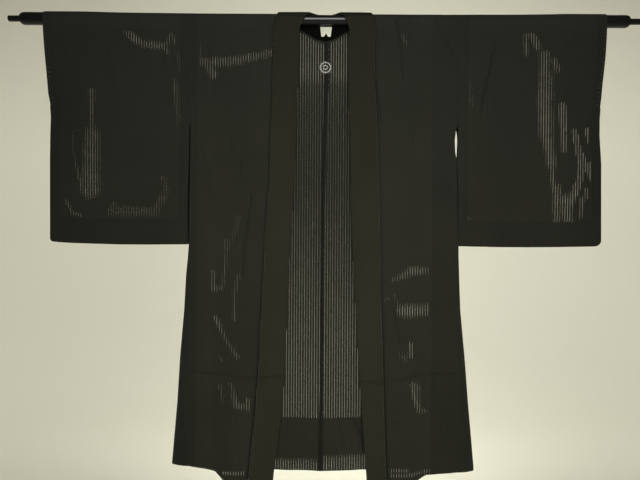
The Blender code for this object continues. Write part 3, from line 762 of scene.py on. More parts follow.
def neck_value(column, place):
    """Reads a column of the neck's table at a place counted in rows, on a smooth curve.

    Past the last row, which is the middle of the nape, the curve goes on as its own mirror image.
    """
    index = min(int(place), len(NECK) - 2)
    share = place - index
    start, end = getattr(NECK[index], column), getattr(NECK[index + 1], column)
    before = getattr(NECK[max(index - 1, 0)], column)
    if index + 2 < len(NECK):
        after = getattr(NECK[index + 2], column)
    else:
        after = start if column.endswith("run") else -start
    slope_in = (end - before) / 2
    slope_out = (after - start) / 2
    cube = 2 * start - 2 * end + slope_in + slope_out
    square = 3 * end - 3 * start - 2 * slope_in - slope_out
    return ((cube * share + square) * share + slope_in) * share + start


def crease_profile(crease, x, drop, layer, half_width, fade):
    """How much of a crease is felt at a place, from 0 beside it to 1 along its middle."""
    along_x, along_drop = crease.x2 - crease.x1, crease.drop2 - crease.drop1
    length = math.hypot(along_x, along_drop)
    share = ((x - crease.x1) * along_x + (drop - crease.drop1) * along_drop) / length**2
    aside = ((x - crease.x1) * along_drop - (drop - crease.drop1) * along_x) / length
    profile = np.clip(1 - (aside / half_width) ** 2, 0.0, 1.0) ** 2
    ends = smoothstep(0.0, fade, share) * smoothstep(1.0, 1 - fade, share)
    return np.where(layer == crease.layer, profile * ends, 0.0)


def crease_lift(x, drop, layer):
    """How far the small creases push the cloth outwards."""
    lift = np.zeros(np.broadcast(x, drop).shape)
    for crease in CREASES:
        lift += crease.depth * crease_profile(crease, x, drop, layer, crease.half_width, CREASE_FADE)
    for crease in SHARP_CREASES:
        lift += crease.depth * crease_profile(crease, x, drop, layer, crease.half_width, SHARP_FADE)
    return lift


def crease_shade(x, drop, layer):
    """How light the painted shade leaves the cloth along the sharp creases, as a share of its own lightness.
    """
    shade = np.ones(np.broadcast(x, drop).shape)
    for crease in SHARP_CREASES:
        half_width = crease.half_width * SHADE_WIDTH
        shade *= 1 - crease.shade * crease_profile(crease, x, drop, layer, half_width, SHARP_FADE)
    return shade


def fold_lift(x, drop, layer):
    """How far the large soft folds push a hanging layer out of its plane."""
    lift = np.zeros(np.broadcast(x, drop).shape)
    for fold in FOLDS:
        offset = (x - fold.x - fold.lean * drop) / fold.half_width
        profile = np.clip(1 - offset * offset, 0.0, 1.0) ** 2
        depth = fold.depth * profile * smoothstep(fold.starts, fold.full, drop)
        lift += np.where(layer == fold.layer, depth, 0.0)
    return lift


def lay_radius(x):
    """The distance of the cloth's middle surface from the rod's axis."""
    return look_up(LAY, "place", "radius", np.abs(x))


def layer_depth(x, drop, layer):
    """The distance of a body layer from the rod's upright middle plane."""
    narrowing = (lay_radius(x) - HEM_DEPTH) * smoothstep(0.0, COLLAR_END, drop)
    return lay_radius(x) - narrowing + fold_lift(x, drop, layer) + crease_lift(x, drop, layer)


def hang(x, run, lift=0.0):
    """The hung places of flat points. lift moves them out of the cloth's middle surface."""
    x, run, lift = np.broadcast_arrays(np.asarray(x, float), np.asarray(run, float), lift)
    drop = np.abs(run) - QUARTER
    layer = np.where(run < 0, FRONT, BACK)
    over_rod = drop <= 0
    hanging = layer_depth(x, np.maximum(drop, 0.0), layer) + lift
    angle = run / MEAN_LAY
    radius = lay_radius(x) + lift
    y = np.where(over_rod, radius * np.sin(angle), layer * hanging)
    z = np.where(over_rod, radius * np.cos(angle), -drop)
    return np.stack((x, y, z), axis=-1)


def slit_wander(matches, x, drop):
    """How far a layer's slits wander along a table's strokes, in pitches: at 0.5 they are in line."""
    wander = np.zeros(np.broadcast(x, drop).shape)
    for match in matches:
        along_x, along_drop = match.x2 - match.x1, match.drop2 - match.drop1
        from_x, from_drop = x - match.x1, drop - match.drop1
        share = (from_x * along_x + from_drop * along_drop) / (along_x**2 + along_drop**2)
        share = np.clip(share, 0.0, 1.0)
        away = np.hypot(from_x - share * along_x, from_drop - share * along_drop) / match.half_width
        opened = match.opened * smoothstep(1.0, MATCH_CORE, away)
        nearly = 0.5 - SLIT_WIDTH / SLIT_PITCH * (1 - opened)
        wander = np.maximum(wander, nearly * smoothstep(MATCH_FADE, 1.0, away))
    return wander


def seen_place(x, drop, gap):
    """Where a point that lies a gap behind the front of the jacket shows on that front: x and drop."""
    share = gap / CAMERA_DISTANCE
    return (x + CAMERA_X * share) / (1 + share), -CAMERA_HEIGHT + (drop + CAMERA_HEIGHT) / (1 + share)


def slit_place(x, run, gap):
    """The place across the cloth that counts its slits, so that a slit lies at each whole pitch.

    The back's slits lie half a pitch beside the front's as seen from in front, so that two layers
    look closed, except where they wander into line.
    """
    in_front, seen_drop = seen_place(x, np.abs(run) - QUARTER, gap)
    behind = in_front + SLIT_PITCH * (0.5 + slit_wander(MATCHES, in_front, seen_drop))
    return between(x, behind, smoothstep(-QUARTER, QUARTER, run))


def add_object(name, data):
    """A new object in the scene."""
    thing = bpy.data.objects.new(name, data)
    bpy.context.scene.collection.objects.link(thing)
    return thing


def mesh_from(name, form):
    """A mesh with the shape of a form, which is not needed after that."""
    mesh = bpy.data.meshes.new(name)
    form.to_mesh(mesh)
    form.free()
    return mesh


def make_piece(name, mesh, material):
    """An object of one smooth mesh in one material."""
    piece = add_object(name, mesh)
    mesh.materials.append(material)
    mesh.shade_smooth()
    return piece


def cloth(name, points, faces, across, along, clear, sheer, shade, material):
    """A wall of cloth from its middle points.

    across and along are each point's place in the weave, clear its distance inside the edge of the
    see-through part (negative on doubled cloth), sheer how far open its slits are, and shade how light
    painted shade leaves it.
    """
    mesh = bpy.data.meshes.new(name)
    mesh.from_pydata(points.reshape(-1, 3).tolist(), [], faces.tolist())
    corners = np.empty(len(mesh.loops), np.int32)
    mesh.loops.foreach_get("vertex_index", corners)
    weave = np.stack((across.ravel(), along.ravel()), axis=-1)[corners]
    mesh.uv_layers.new(name="weave").data.foreach_set("uv", weave.ravel().astype(np.float32))
    for label, values in (("clear", clear), ("sheer", sheer), ("shade", shade)):
        attribute = mesh.attributes.new(label, "FLOAT", "POINT")
        attribute.data.foreach_set("value", values.ravel().astype(np.float32))
    form = bmesh.new()
    form.from_mesh(mesh)
    bmesh.ops.remove_doubles(form, verts=form.verts, dist=SAME_POINT)
    bmesh.ops.recalc_face_normals(form, faces=form.faces)
    form.to_mesh(mesh)
    form.free()
    piece = make_piece(name, mesh, material)
    wall = piece.modifiers.new("wall", "SOLIDIFY")
    wall.thickness = WALL
    wall.offset = 0.0
    wall.use_even_offset = True
    return piece


def grid_faces(rows, columns):
    """The four corners of each cell of a grid of points."""
    index = np.arange(rows * columns).reshape(rows, columns)
    corners = (index[:-1, :-1], index[:-1, 1:], index[1:, 1:], index[1:, :-1])
    return np.stack([corner.ravel() for corner in corners], axis=-1)


def centre_seam(drop):
    """How far the centre back seam stands from the middle."""
    return look_up(CENTRE_SEAM, "drop", "x", drop)


def hem_drop(side, layer, share):
    """How far down a layer's hem is, by the share of the way from the side seam."""
    return look_up(FRONT_HEM if layer == FRONT else BACK_HEM, "share", SIDE_NAMES[side], share)


def side_edge(side, drop):
    """The place across of a body's side edge."""
    return side * look_up(SIDE, "drop", SIDE_NAMES[side] + "_body", drop)


def collar_edge(side, drop):
    """The place across of a front's edge, where the collar is sewn on."""
    return side * (look_up(FRONT_COLLAR, "drop", SIDE_NAMES[side] + "_edge", drop) - COLLAR_LAP)


def collar_stations(side):
    """The collar's seam and fold from the nape's middle to its front end, each as flat points."""
    neck = []
    for step in range(NECK_STATIONS + 1):
        place = (len(NECK) - 1) * (1 - step / NECK_STATIONS)
        seam_x, seam_run, fold_x, fold_run = (neck_value(column, place) for column in NECK[0]._fields)
        if side == LEFT:
            wider = float(smoothstep(NECK_NARROWS, 0.0, place))
            seam_x += NECK_LEFT_SEAM * wider
            fold_x += NECK_LEFT_FOLD * wider
        neck.append((side * seam_x, seam_run, side * fold_x, fold_run))
    neck = np.array(neck)
    hem = hem_drop(side, FRONT, 1.0) - HEM_FOLD_RADIUS
    first_drop = -NECK[0].seam_run - QUARTER
    drops = np.concatenate((
        np.linspace(first_drop, UNDERARM, YOKE_ROWS + 1)[1:],
        np.linspace(UNDERARM, hem, BODY_ROWS + 1)[1:],
        np.linspace(hem, COLLAR_END, COLLAR_END_ROWS + 1)[1:],
    ))
    fold_x = side * look_up(FRONT_COLLAR, "drop", SIDE_NAMES[side] + "_fold", drops)
    seam = np.concatenate((neck[:, :2], np.stack((collar_edge(side, drops), -QUARTER - drops), axis=-1)))
    fold = np.concatenate((neck[:, 2:], np.stack((fold_x, -QUARTER - drops), axis=-1)))
    return seam, fold


def whole_collar():
    """The seam and fold of the whole collar, and how far it is stacked up where it lies on the rod."""
    left, right = collar_stations(LEFT), collar_stations(RIGHT)
    seam, fold = (np.concatenate((first[::-1], second[1:])) for first, second in zip(left, right))
    return seam, fold, smoothstep(STACK_ENDS, STACK_FULL, np.abs(fold[:, 1:]))


def across_band(seam, fold, distance):
    """Flat points at distances outside the seam, on lines from the collar's fold through its seam."""
    outwards = (seam - fold) / np.linalg.norm(seam - fold, axis=-1, keepdims=True)
    return seam[:, None, :] + outwards[:, None, :] * distance[..., None]


def skirt(side, layer):
    """A layer from the underarm to the hem and up its turn-up.

    It gives each point's place across and run, its lift, its place along the weave and the shift of
    its slits.
    """
    share = np.linspace(0, 1, BODY_COLUMNS + 1)
    hem = hem_drop(side, layer, share)
    end = hem - HEM_FOLD_RADIUS
    down = np.linspace(0, 1, BODY_ROWS + 1)[:, None]
    turn = np.radians(np.arange(FOLD_STEP, 180, FOLD_STEP))[:, None]
    up = np.linspace(0, 1, TURN_UP_ROWS + 1)[:, None] ** TURN_UP_SPACING
    parts = (
        (between(UNDERARM, end, down), 0 * down, 0 * down),
        (end + HEM_FOLD_RADIUS * np.sin(turn), HEM_FOLD_RADIUS * (np.cos(turn) - 1), 0 * turn),
        (between(end, hem - TURN_UP, up), -2 * HEM_FOLD_RADIUS + 0 * up, up),
    )
    drop, lift, turned = (np.concatenate([grid + 0 * share for grid in grids]) for grids in zip(*parts))
    inner = collar_edge(side, drop[:, -1:]) if layer == FRONT else centre_seam(drop)
    x = between(side_edge(side, drop), inner, share)
    along = np.where(turned > 0, 2 * end - drop, drop)
    if layer == BACK:
        parted = smoothstep(TURN_UP_MATCHED[side], TURN_UP_SHIFTED, turned * TURN_UP)
        shift = SLIT_PITCH * TURN_UP_SHIFT * parted
    else:
        parted = SLIT_PITCH * (TURN_UP_SHIFT - slit_wander(HEM_MATCHES, x, drop))
        shift = np.where(turned > 0, parted, 0.0) + seen_place(x, drop, -lift)[0] - x
    return x, layer * (QUARTER + drop), lift, QUARTER + along, shift


def body_half(side, material):
    """One loom width from the front hem over the rod to the back hem, with both hems turned up."""
    share = np.linspace(0, 1, BODY_COLUMNS + 1)
    seam = collar_stations(side)[0][:NECK_STATIONS + YOKE_ROWS]
    # the two halves meet exactly in the middle of the nape
    seam[0, 0] = 0.0
    shoulder = side * HALF_SHOULDER
    front_x = between(shoulder, seam[:, :1], share)
    front_run = seam[:, 1:] + 0 * share
    back_drop = np.linspace(NAPE_RUN - QUARTER, UNDERARM, YOKE_ROWS + 1)[1:-1, None]
    back_x = between(shoulder, centre_seam(back_drop), share)
    back_run = QUARTER + back_drop + 0 * share
    rows = [
        [grid[::-1] for grid in skirt(side, FRONT)],
        [front_x[::-1], front_run[::-1], 0 * front_x, np.abs(front_run[::-1]), 0 * front_x],
        [back_x, back_run, 0 * back_x, back_run, 0 * back_x],
        skirt(side, BACK),
    ]
    x, run, lift, along, shift = (np.concatenate(grids) for grids in zip(*rows))
    points = hang(x, run, lift)
    drop = np.abs(run) - QUARTER
    layer = np.where(run < 0, FRONT, BACK)
    by_collar = run < NAPE_RUN
    from_inner = x - x[:, -1:]
    to_side = np.maximum(np.abs(x[:, :1]), HALF_SHOULDER) - np.abs(x) - SIDE_ALLOWANCE[side]
    to_inner = np.abs(from_inner) - np.where(by_collar, NECK_ALLOWANCE, CENTRE_ALLOWANCE[side])
    clear = np.minimum(to_side, to_inner)
    middle = smoothstep(MIDDLE_ENDS, MIDDLE_FULL, np.abs(x)) * (layer == BACK)
    sheer = between(1.0, look_up(SHEER, "drop", "share", drop), middle)
    sheer = sheer * smoothstep(ROD_REACH, ROD_LEFT, drop)
    # painted shade: the inside of the middle of the back, and the bottoms of the sharp creases
    shade = between(1.0, look_up(SHEER, "drop", "shade", drop), middle) * crease_shade(x, drop, layer)
    off_collar = np.where(by_collar, np.abs(from_inner) - COLLAR_LAP, COLLAR_SHADE_REACH)
    beside = smoothstep(COLLAR_SHADE_REACH, COLLAR_SHADE_FULL, off_collar)
    shade *= 1 - look_up(COLLAR_SHADE, "drop", "depth", drop) * beside
    off_centre = np.where(by_collar, CENTRE_SHADE_REACH, np.abs(from_inner + CENTRE_SHADE_X))
    shade *= 1 - CENTRE_SHADE * smoothstep(CENTRE_SHADE_REACH, CENTRE_SHADE_FULL, off_centre)
    hung = np.clip(drop, 0, COLLAR_END)
    behind = layer_depth(x, hung, BACK)
    before = layer_depth(*seen_place(x, hung, 2 * behind), FRONT)
    slits = slit_place(x, run, behind + before + np.where(run > 0, lift, 0.0)) + shift
    faces = grid_faces(*x.shape)
    name = "body_cloth_" + SIDE_NAMES[side]
    return cloth(name, points, faces, slits, along, clear, sheer, shade, material)


def sleeve(side, material):
    """A length of cloth folded over the rod, sewn along the bottom and up the cuff to its opening."""
    name = SIDE_NAMES[side]
    corner, radius = SLEEVE_CORNER[side], SLEEVE_SEAM_RADIUS
    mouth = np.linspace(0, CUFF_OPENING, ARM_ROWS + 1)[1:]
    arm = np.linspace(CUFF_OPENING, UNDERARM, ARM_ROWS // 4)[1:]
    roll_over = np.linspace(-QUARTER, QUARTER, ROD_ROWS + 1)

    def column(share, near_cuff, turn):
        """One upright section round both layers, as rows of values.

        They are x, y, z, the run, half the distance between the layers, and the distances to the
        bottom, the cuff and the armhole. Near the cuff the section is placed by its distance from it.
        """

        def across_at(drop):
            outer = look_up(CUFF, "drop", name, drop)
            inner = look_up(SIDE, "drop", name + "_sleeve", drop)
            if near_cuff is None:
                return between(inner, outer, share), (outer - inner) * (1 - share), (outer - inner) * share
            distance = near_cuff - radius * math.sin(turn) + 0 * outer
            return outer - distance, distance, outer - inner - distance

        bottom = float(look_up(SLEEVE_BOTTOM, "share", name, share))
        into_corner = max(0.0, corner - float(across_at(bottom)[1]))
        column_bottom = bottom - corner + math.sqrt(max(0.0, corner**2 - into_corner**2))
        foot = column_bottom - radius
        hanging = np.linspace(UNDERARM, foot, SLEEVE_ROWS + 1)[1:]
        drop = np.concatenate((mouth, arm, hanging))
        x, from_cuff, from_armhole = across_at(drop)
        bow = look_up(BACK_BOW, "drop", name, drop) * (1 - share) ** BOW_FADE
        lay = lay_radius(x)
        flat = lay - (lay - HEM_DEPTH) * smoothstep(0.0, COLLAR_END, np.minimum(drop, ARMHOLE))
        above_bottom = np.clip((foot - drop) / SLEEVE_PINCH, 0.0, 1.0)
        off_cuff = np.clip((from_cuff - radius) / CUFF_PINCH, 0.0, 1.0)
        shut = smoothstep(CUFF_MOUTH_STARTS, CUFF_OPENING, drop)
        parted = (1 - (1 - above_bottom) ** PINCH_POWER) * (1 - shut * (1 - off_cuff) ** PINCH_POWER)
        half_depth = (radius + (flat - radius) * parted) * math.cos(turn)
        below = np.radians(BOTTOM_TURNS)
        drop = np.concatenate((drop, foot + radius * np.sin(below)))
        half_depth = np.concatenate((half_depth, radius * np.cos(below) * math.cos(turn)))
        added = (0, len(below))
        x, from_cuff, from_armhole = (np.pad(row, added, "edge") for row in (x, from_cuff, from_armhole))
        bow, parted = (np.pad(row, added) for row in (bow, parted))
        faces = []
        for layer, place in ((BACK, x + bow), (FRONT, x)):
            y = half_depth + crease_lift(side * x, drop, layer) * parted
            faces.append((side * place, layer * y, -drop, layer * (QUARTER + drop), half_depth,
                          column_bottom - drop, from_cuff, from_armhole))
        back, front = (np.stack(face) for face in faces)
        foot_point = np.array((side * x[-1], 0.0, -column_bottom, QUARTER + column_bottom, 0.0,
                               0.0, from_cuff[-1], from_armhole[-1]))[:, None]
        over = hang(side * x[0] + 0 * roll_over, roll_over).T
        level = (lay_radius(x[0]), bottom, from_cuff[0], from_armhole[0])
        top = np.stack((*over, roll_over, *(value + 0 * roll_over for value in level)))
        return np.concatenate((top, back, foot_point, front[:, ::-1]), axis=1)

    columns = [column(share / SLEEVE_COLUMNS, None, 0.0) for share in range(SLEEVE_WHOLE_COLUMNS + 1)]
    columns += [column(1.0, distance, 0.0) for distance in NEAR_CUFF]
    rings = np.stack(columns)
    count = rings.shape[2]
    index = np.arange(len(rings) * count).reshape(len(rings), count)
    after = np.roll(index, -1, axis=1)
    corners = (index[:-1], after[:-1], after[1:], index[1:])
    faces = [np.stack([corner.ravel() for corner in corners], axis=-1)]
    values = [rings.transpose(0, 2, 1).reshape(-1, rings.shape[1])]
    closed = slice(len(roll_over) + ARM_ROWS - 1, count - (ARM_ROWS - 1))
    last = index[-1][closed]
    for turn in CUFF_TURNS:
        chain = column(1.0, radius, math.radians(turn))[:, closed].T
        chain_index = sum(len(part) for part in values) + np.arange(len(chain))
        faces.append(np.stack((last[:-1], last[1:], chain_index[1:], chain_index[:-1]), axis=-1))
        values.append(chain)
        last = chain_index
    x, y, z, run, half_depth, to_bottom, to_cuff, to_armhole = np.concatenate(values).T
    clear = np.minimum(to_bottom - SLEEVE_BOTTOM_ALLOWANCE, to_cuff - SLEEVE_CUFF_ALLOWANCE)
    clear = np.minimum(clear, to_armhole - SLEEVE_ARMHOLE_ALLOWANCE)
    drop = np.abs(run) - QUARTER
    sheer = smoothstep(ROD_REACH, ROD_LEFT, drop)
    # painted shade on the back of the sleeve inside the gap beside the body
    in_gap = (run > 0) * smoothstep(ARMHOLE, UNDERARM, drop)
    in_gap = in_gap * smoothstep(GAP_REACH, GAP_REACH / 2, to_armhole)
    shade = crease_shade(x, drop, np.where(run < 0, FRONT, BACK)) * between(1.0, GAP_SHADE, in_gap)
    parted = np.clip((half_depth - SLEEVE_SEAM_RADIUS) / (lay_radius(x) - SLEEVE_SEAM_RADIUS), 0.0, 1.0)
    before = crease_lift(*seen_place(x, drop, 2 * half_depth), FRONT)
    slits = slit_place(x, run, 2 * half_depth + (crease_lift(x, drop, BACK) + before) * parted)
    points = np.stack((x, y, z), axis=-1)
    return cloth("sleeve_cloth_" + name, points, np.concatenate(faces), slits, np.abs(run), clear,
                 sheer, shade, material)


def gusset(side, material):
    """The tapered strip between front and back below the armhole, hung as a soft flattened tube."""
    name = SIDE_NAMES[side]
    hem = hem_drop(side, FRONT, 0.0)
    drop = np.concatenate(([GUSSET_TOP], np.linspace(UNDERARM, hem, BODY_ROWS + 1)))
    reach = look_up(GUSSET, "drop", name, drop)
    seam_x = side * side_edge(side, drop)
    sharpness = 1 + GUSSET_SHARPENS * reach / getattr(GUSSET[-1], name)
    arms = {}
    for layer in (FRONT, BACK):
        depth = layer_depth(side * seam_x, drop, layer)
        x, y = [seam_x], [depth]
        for angle in map(math.radians, GUSSET_ANGLES):
            x.append(seam_x + GUSSET_FLAT + (reach - GUSSET_FLAT) * math.sin(angle))
            y.append(depth * math.cos(angle) ** sharpness)
        arms[layer] = [(side * place, layer * stand) for place, stand in zip(x, y)]
    section = arms[FRONT] + [(side * (seam_x + reach), 0 * drop)] + arms[BACK][::-1]
    points = np.stack([np.stack((x, y, -drop), axis=-1) for x, y in section], axis=1)
    steps = np.linalg.norm(np.diff(points, axis=1), axis=-1)
    across = np.concatenate((np.zeros((len(drop), 1)), np.cumsum(steps, axis=1)), axis=1)
    across -= across[:, -1:] / 2
    along = np.broadcast_to(QUARTER + drop[:, None], across.shape)
    clear = np.full(across.shape, GUSSET_CLEAR)
    faces = grid_faces(*across.shape)
    plain = np.ones_like(across)
    return cloth("gusset_cloth_" + name, points, faces, across, along, clear, plain, plain, material)


def collar_band(material):
    """The double band: an under layer sewn to the body's edge, a soft fold and an outer layer over it."""
    seam, fold, over_rod = whole_collar()
    reach = np.linalg.norm(seam - fold, axis=-1)[:, None]
    rest = COLLAR_REST + COLLAR_STACK * over_rod
    roll = COLLAR_ROLL + COLLAR_STACK / 2 * over_rod
    share = np.linspace(0, 1, COLLAR_COLUMNS + 1)[1:]
    turn = np.radians(np.arange(0, 181, FOLD_STEP))
    under = (roll - reach) * (1 - share[::-1])
    rolled = roll - reach - roll * np.sin(turn)
    over = between(roll - reach, COLLAR_LAP, share)
    distance = np.concatenate((under, rolled, over), axis=1)
    lift = np.concatenate((0 * under, roll * (1 - np.cos(turn)), between(2 * roll, rest, share)), axis=1)
    flat = across_band(seam, fold, distance)
    points = hang(flat[..., 0], flat[..., 1], lift)
    steps = np.linalg.norm(np.diff(points, axis=1), axis=-1)
    across = np.concatenate((0 * reach, np.cumsum(steps, axis=1)), axis=1)
    across -= across[:, len(share) + len(turn) // 2][:, None]
    steps = np.linalg.norm(np.diff(flat[:, len(share)], axis=0), axis=-1)
    along = np.broadcast_to(np.concatenate(([0.0], np.cumsum(steps)))[:, None], across.shape)
    # round the nape the under layer is darkened with painted shade, where it lies in shadow under the rod
    nape = smoothstep(NAPE_SHADE_ENDS, NAPE_SHADE_FULL, seam[:, 1:])
    nape_shaded = nape * (np.arange(across.shape[1]) < NAPE_SHADE_COLUMNS)
    creased = crease_shade(flat[..., 0], np.abs(flat[..., 1]) - QUARTER, FRONT)
    shade = between(1.0, SHADED_NAPE_LIGHTNESS, nape_shaded) * creased
    faces = grid_faces(*across.shape)
    closed = np.full(across.shape, COLLAR_CLEAR)
    return cloth("collar_cloth", points, faces, across, along, closed, 0 * across, shade, material)


def label_outline(inset, lift):
    """Points round the label, an inset inside its edge and a lift in front of its back."""
    foot = LABEL_FOOT_DROP - inset
    right = [
        (LABEL_TOP_HALF - inset, LABEL_TOP_DROP + inset),
        (LABEL_FOOT_HALF - inset, foot),
        (LABEL_NOTCH_HALF + inset, foot),
    ]
    notch = (0.0, LABEL_FOOT_DROP - LABEL_NOTCH - NOTCH_EDGE * inset)
    foot_left, notch_left = ((-x, drop) for x, drop in right[1:])
    top_left = (-right[0][0], right[0][1])
    plane = BAR_LAY - WALL / 2 - LABEL_GAP - lift
    outline = [top_left, *right, notch, notch_left, foot_left]
    return [(LABEL_MIDDLE + x, plane, -drop) for x, drop in outline]


def nape_label(material):
    """A small tapered patch with a notched foot and soft edges, on the inside of the collar."""
    form = bmesh.new()
    face = form.faces.new([form.verts.new(point) for point in label_outline(0.0, 0.0)])
    raised = bmesh.ops.extrude_face_region(form, geom=[face])["geom"]
    corners = [item for item in raised if isinstance(item, bmesh.types.BMVert)]
    bmesh.ops.translate(form, verts=corners, vec=(0, -LABEL_THICK, 0))
    bmesh.ops.recalc_face_normals(form, faces=form.faces)
    bmesh.ops.bevel(form, geom=form.edges[:], offset=LABEL_BEVEL, segments=2, profile=0.5, affect="EDGES")
    return make_piece("nape_label_patch", mesh_from("nape_label_patch", form), material)


def hanging_rod(material):
    """The turned rod with rounded shoulders and a thinner peg at each end."""
    half = (
        (0.0, PEG_END),
        (PEG_RADIUS - ROD_EASE, PEG_END),
        (PEG_RADIUS, PEG_END - ROD_EASE),
        (PEG_RADIUS, ROD_HALF_LENGTH),
        (ROD_SHOULDER_RADIUS - ROD_EASE, ROD_HALF_LENGTH),
        (ROD_SHOULDER_RADIUS, ROD_HALF_LENGTH - ROD_EASE),
        (TUBE_RADIUS - ROD_EASE / 3, ROD_HALF_LENGTH - ROD_CHAMFER + ROD_EASE),
        (TUBE_RADIUS, ROD_HALF_LENGTH - ROD_CHAMFER - ROD_EASE),
        (TUBE_RADIUS, TUBE_START + TUBE_LIP),
        (TUBE_RADIUS - TUBE_LIP, TUBE_START),
        (BAR_RADIUS, TUBE_START),
    )
    profile = list(half) + [(radius, -place) for radius, place in reversed(half)]
    form = bmesh.new()
    points = [form.verts.new((place, radius, 0.0)) for radius, place in profile]
    edges = [form.edges.new(pair) for pair in zip(points, points[1:])]
    bmesh.ops.spin(form, geom=points + edges, cent=(0, 0, 0), axis=(1, 0, 0), angle=2 * math.pi,
                   steps=ROD_SIDES, use_merge=True)
    bmesh.ops.remove_doubles(form, verts=form.verts, dist=SAME_POINT)
    bmesh.ops.recalc_face_normals(form, faces=form.faces)
    piece = make_piece("hanging_rod", mesh_from("hanging_rod", form), material)
    piece.data.set_sharp_from_angle(angle=math.radians(ROD_SHARP_ANGLE))
    return piece


def socket_value(tree, socket, value):
    """Joins a socket to another, or sets it to a plain value."""
    if isinstance(value, bpy.types.NodeSocket):
        tree.links.new(value, socket)
    else:
        socket.default_value = value


def add_node(tree, kind, settings=None, **inputs):
    """A node with its settings and its inputs, which are named with _ for a blank."""
    node = tree.nodes.new(kind)
    for name, value in (settings or {}).items():
        setattr(node, name, value)
    for name, value in inputs.items():
        socket_value(tree, node.inputs[name.replace("_", " ")], value)
    return node


def calculate(tree, operation, *values):
    """A Math node's result."""
    node = add_node(tree, "ShaderNodeMath", {"operation": operation})
    for socket, value in zip(node.inputs, values):
        socket_value(tree, socket, value)
    return node.outputs[0]


def calculate_vector(tree, operation, *values, scale=None):
    """A Vector Math node's result."""
    node = add_node(tree, "ShaderNodeVectorMath", {"operation": operation})
    for socket, value in zip(node.inputs, values):
        socket_value(tree, socket, value)
    if scale is not None:
        socket_value(tree, node.inputs["Scale"], scale)
    return node.outputs["Vector"]


def noise(tree, place, scale, detail=2.0):
    """Soft unevenness from 0 to 1. A larger scale makes it finer."""
    return add_node(tree, "ShaderNodeTexNoise", Vector=place, Scale=scale, Detail=detail).outputs["Fac"]


def spread(tree, value, limits):
    """Turns a value that runs from 0 to 1 into one that runs from one limit to the other."""
    low, high = limits
    return add_node(tree, "ShaderNodeMapRange", Value=value, To_Min=low, To_Max=high).outputs["Result"]


def tint(tree, colour, strength):
    """A colour times a value."""
    return calculate_vector(tree, "SCALE", colour, scale=strength)


def new_material(name, roughness, **constants):
    """A material with its shader. The constants are the sockets that are the same all over."""
    material = bpy.data.materials.new(name)
    material.use_nodes = True
    shader = material.node_tree.nodes["Principled BSDF"]
    shader.inputs["Roughness"].default_value = roughness
    for label, value in constants.items():
        shader.inputs[label.replace("_", " ")].default_value = value
    return material, material.node_tree, shader


def weave_places(tree):
    """The places across and along the weave, in metres, and both as one vector."""
    weave = add_node(tree, "ShaderNodeUVMap", {"uv_map": "weave"}).outputs["UV"]
    parts = add_node(tree, "ShaderNodeSeparateXYZ", Vector=weave)
    return weave, parts.outputs["X"], parts.outputs["Y"]


def product(tree, *values):
    """The first value times each of the others in turn."""
    result = values[0]
    for value in values[1:]:
        result = calculate(tree, "MULTIPLY", result, value)
    return result


def object_place(tree):
    """A point's place in its object, in metres."""
    return add_node(tree, "ShaderNodeTexCoord").outputs["Object"]


def stored(tree, name):
    """A value that the cloth keeps at each of its points."""
    return add_node(tree, "ShaderNodeAttribute", {"attribute_name": name}).outputs["Fac"]


def finish_surface(tree, shader, colour, tone, roughness, height, relief):
    """Gives a shader its colour times a tone, its roughness and its relief."""
    strength, distance = relief
    bump = add_node(tree, "ShaderNodeBump", Height=height, Strength=strength, Distance=distance)
    socket_value(tree, shader.inputs["Base Color"], tint(tree, colour, tone))
    socket_value(tree, shader.inputs["Roughness"], roughness)
    socket_value(tree, shader.inputs["Normal"], bump.outputs["Normal"])


def ribs(tree, place, pitch):
    """Rounded threads side by side: 0 between two threads, 1 on top of one."""
    wave = calculate(tree, "SINE", calculate(tree, "MULTIPLY", place, math.pi / pitch))
    return calculate(tree, "ABSOLUTE", wave)


def woven_surface(tree, shader, colour, weave, across, along, strength):
    """Ribbed threads with painted shade between them, uneven yarn and a soft mottling, given to a shader."""
    threads = product(tree, ribs(tree, across, WARP_PITCH), ribs(tree, along, WEFT_PITCH))
    yarn = noise(tree, calculate_vector(tree, "MULTIPLY", weave, YARN_STRETCH), 1.0)
    cross_yarn = noise(tree, calculate_vector(tree, "MULTIPLY", weave, CROSS_YARN_STRETCH), 1.0)
    mottle = noise(tree, object_place(tree), MOTTLE_SCALE, MOTTLE_DETAIL)
    tones = ((yarn, YARN_TONE), (cross_yarn, CROSS_YARN_TONE), (mottle, MOTTLE_TONE), (threads, THREAD_SHADE))
    shade = product(tree, *(spread(tree, value, limits) for value, limits in tones))
    height = calculate(tree, "MULTIPLY_ADD", yarn, YARN_HEIGHT, threads)
    finish_surface(tree, shader, tint(tree, colour, strength), shade, spread(tree, yarn, YARN_ROUGHNESS),
                   height, CLOTH_RELIEF)


def slit_distance(tree, across):
    """The distance from the middle of the nearest slit."""
    stripe = calculate(tree, "DIVIDE", across, SLIT_PITCH)
    return calculate(tree, "MULTIPLY", calculate(tree, "PINGPONG", stripe, 0.5), SLIT_PITCH)


def stripe_shade(tree, aside, depth):
    """How light painted shade leaves the cloth: less in the creases and the other shaded places the cloth
    keeps, and in a closed slit's groove, unevenly.
    """
    patch = add_node(tree, "ShaderNodeMapRange", Value=noise(tree, object_place(tree), PATCH_SCALE),
                     From_Min=0.35, From_Max=0.70, To_Min=0.15, To_Max=1.7).outputs["Result"]
    groove = calculate(tree, "LESS_THAN", aside, SLIT_WIDTH * GROOVE_WIDTH / 2)
    light = calculate(tree, "SUBTRACT", 1.0, product(tree, groove, patch, depth))
    return product(tree, light, stored(tree, "shade"))


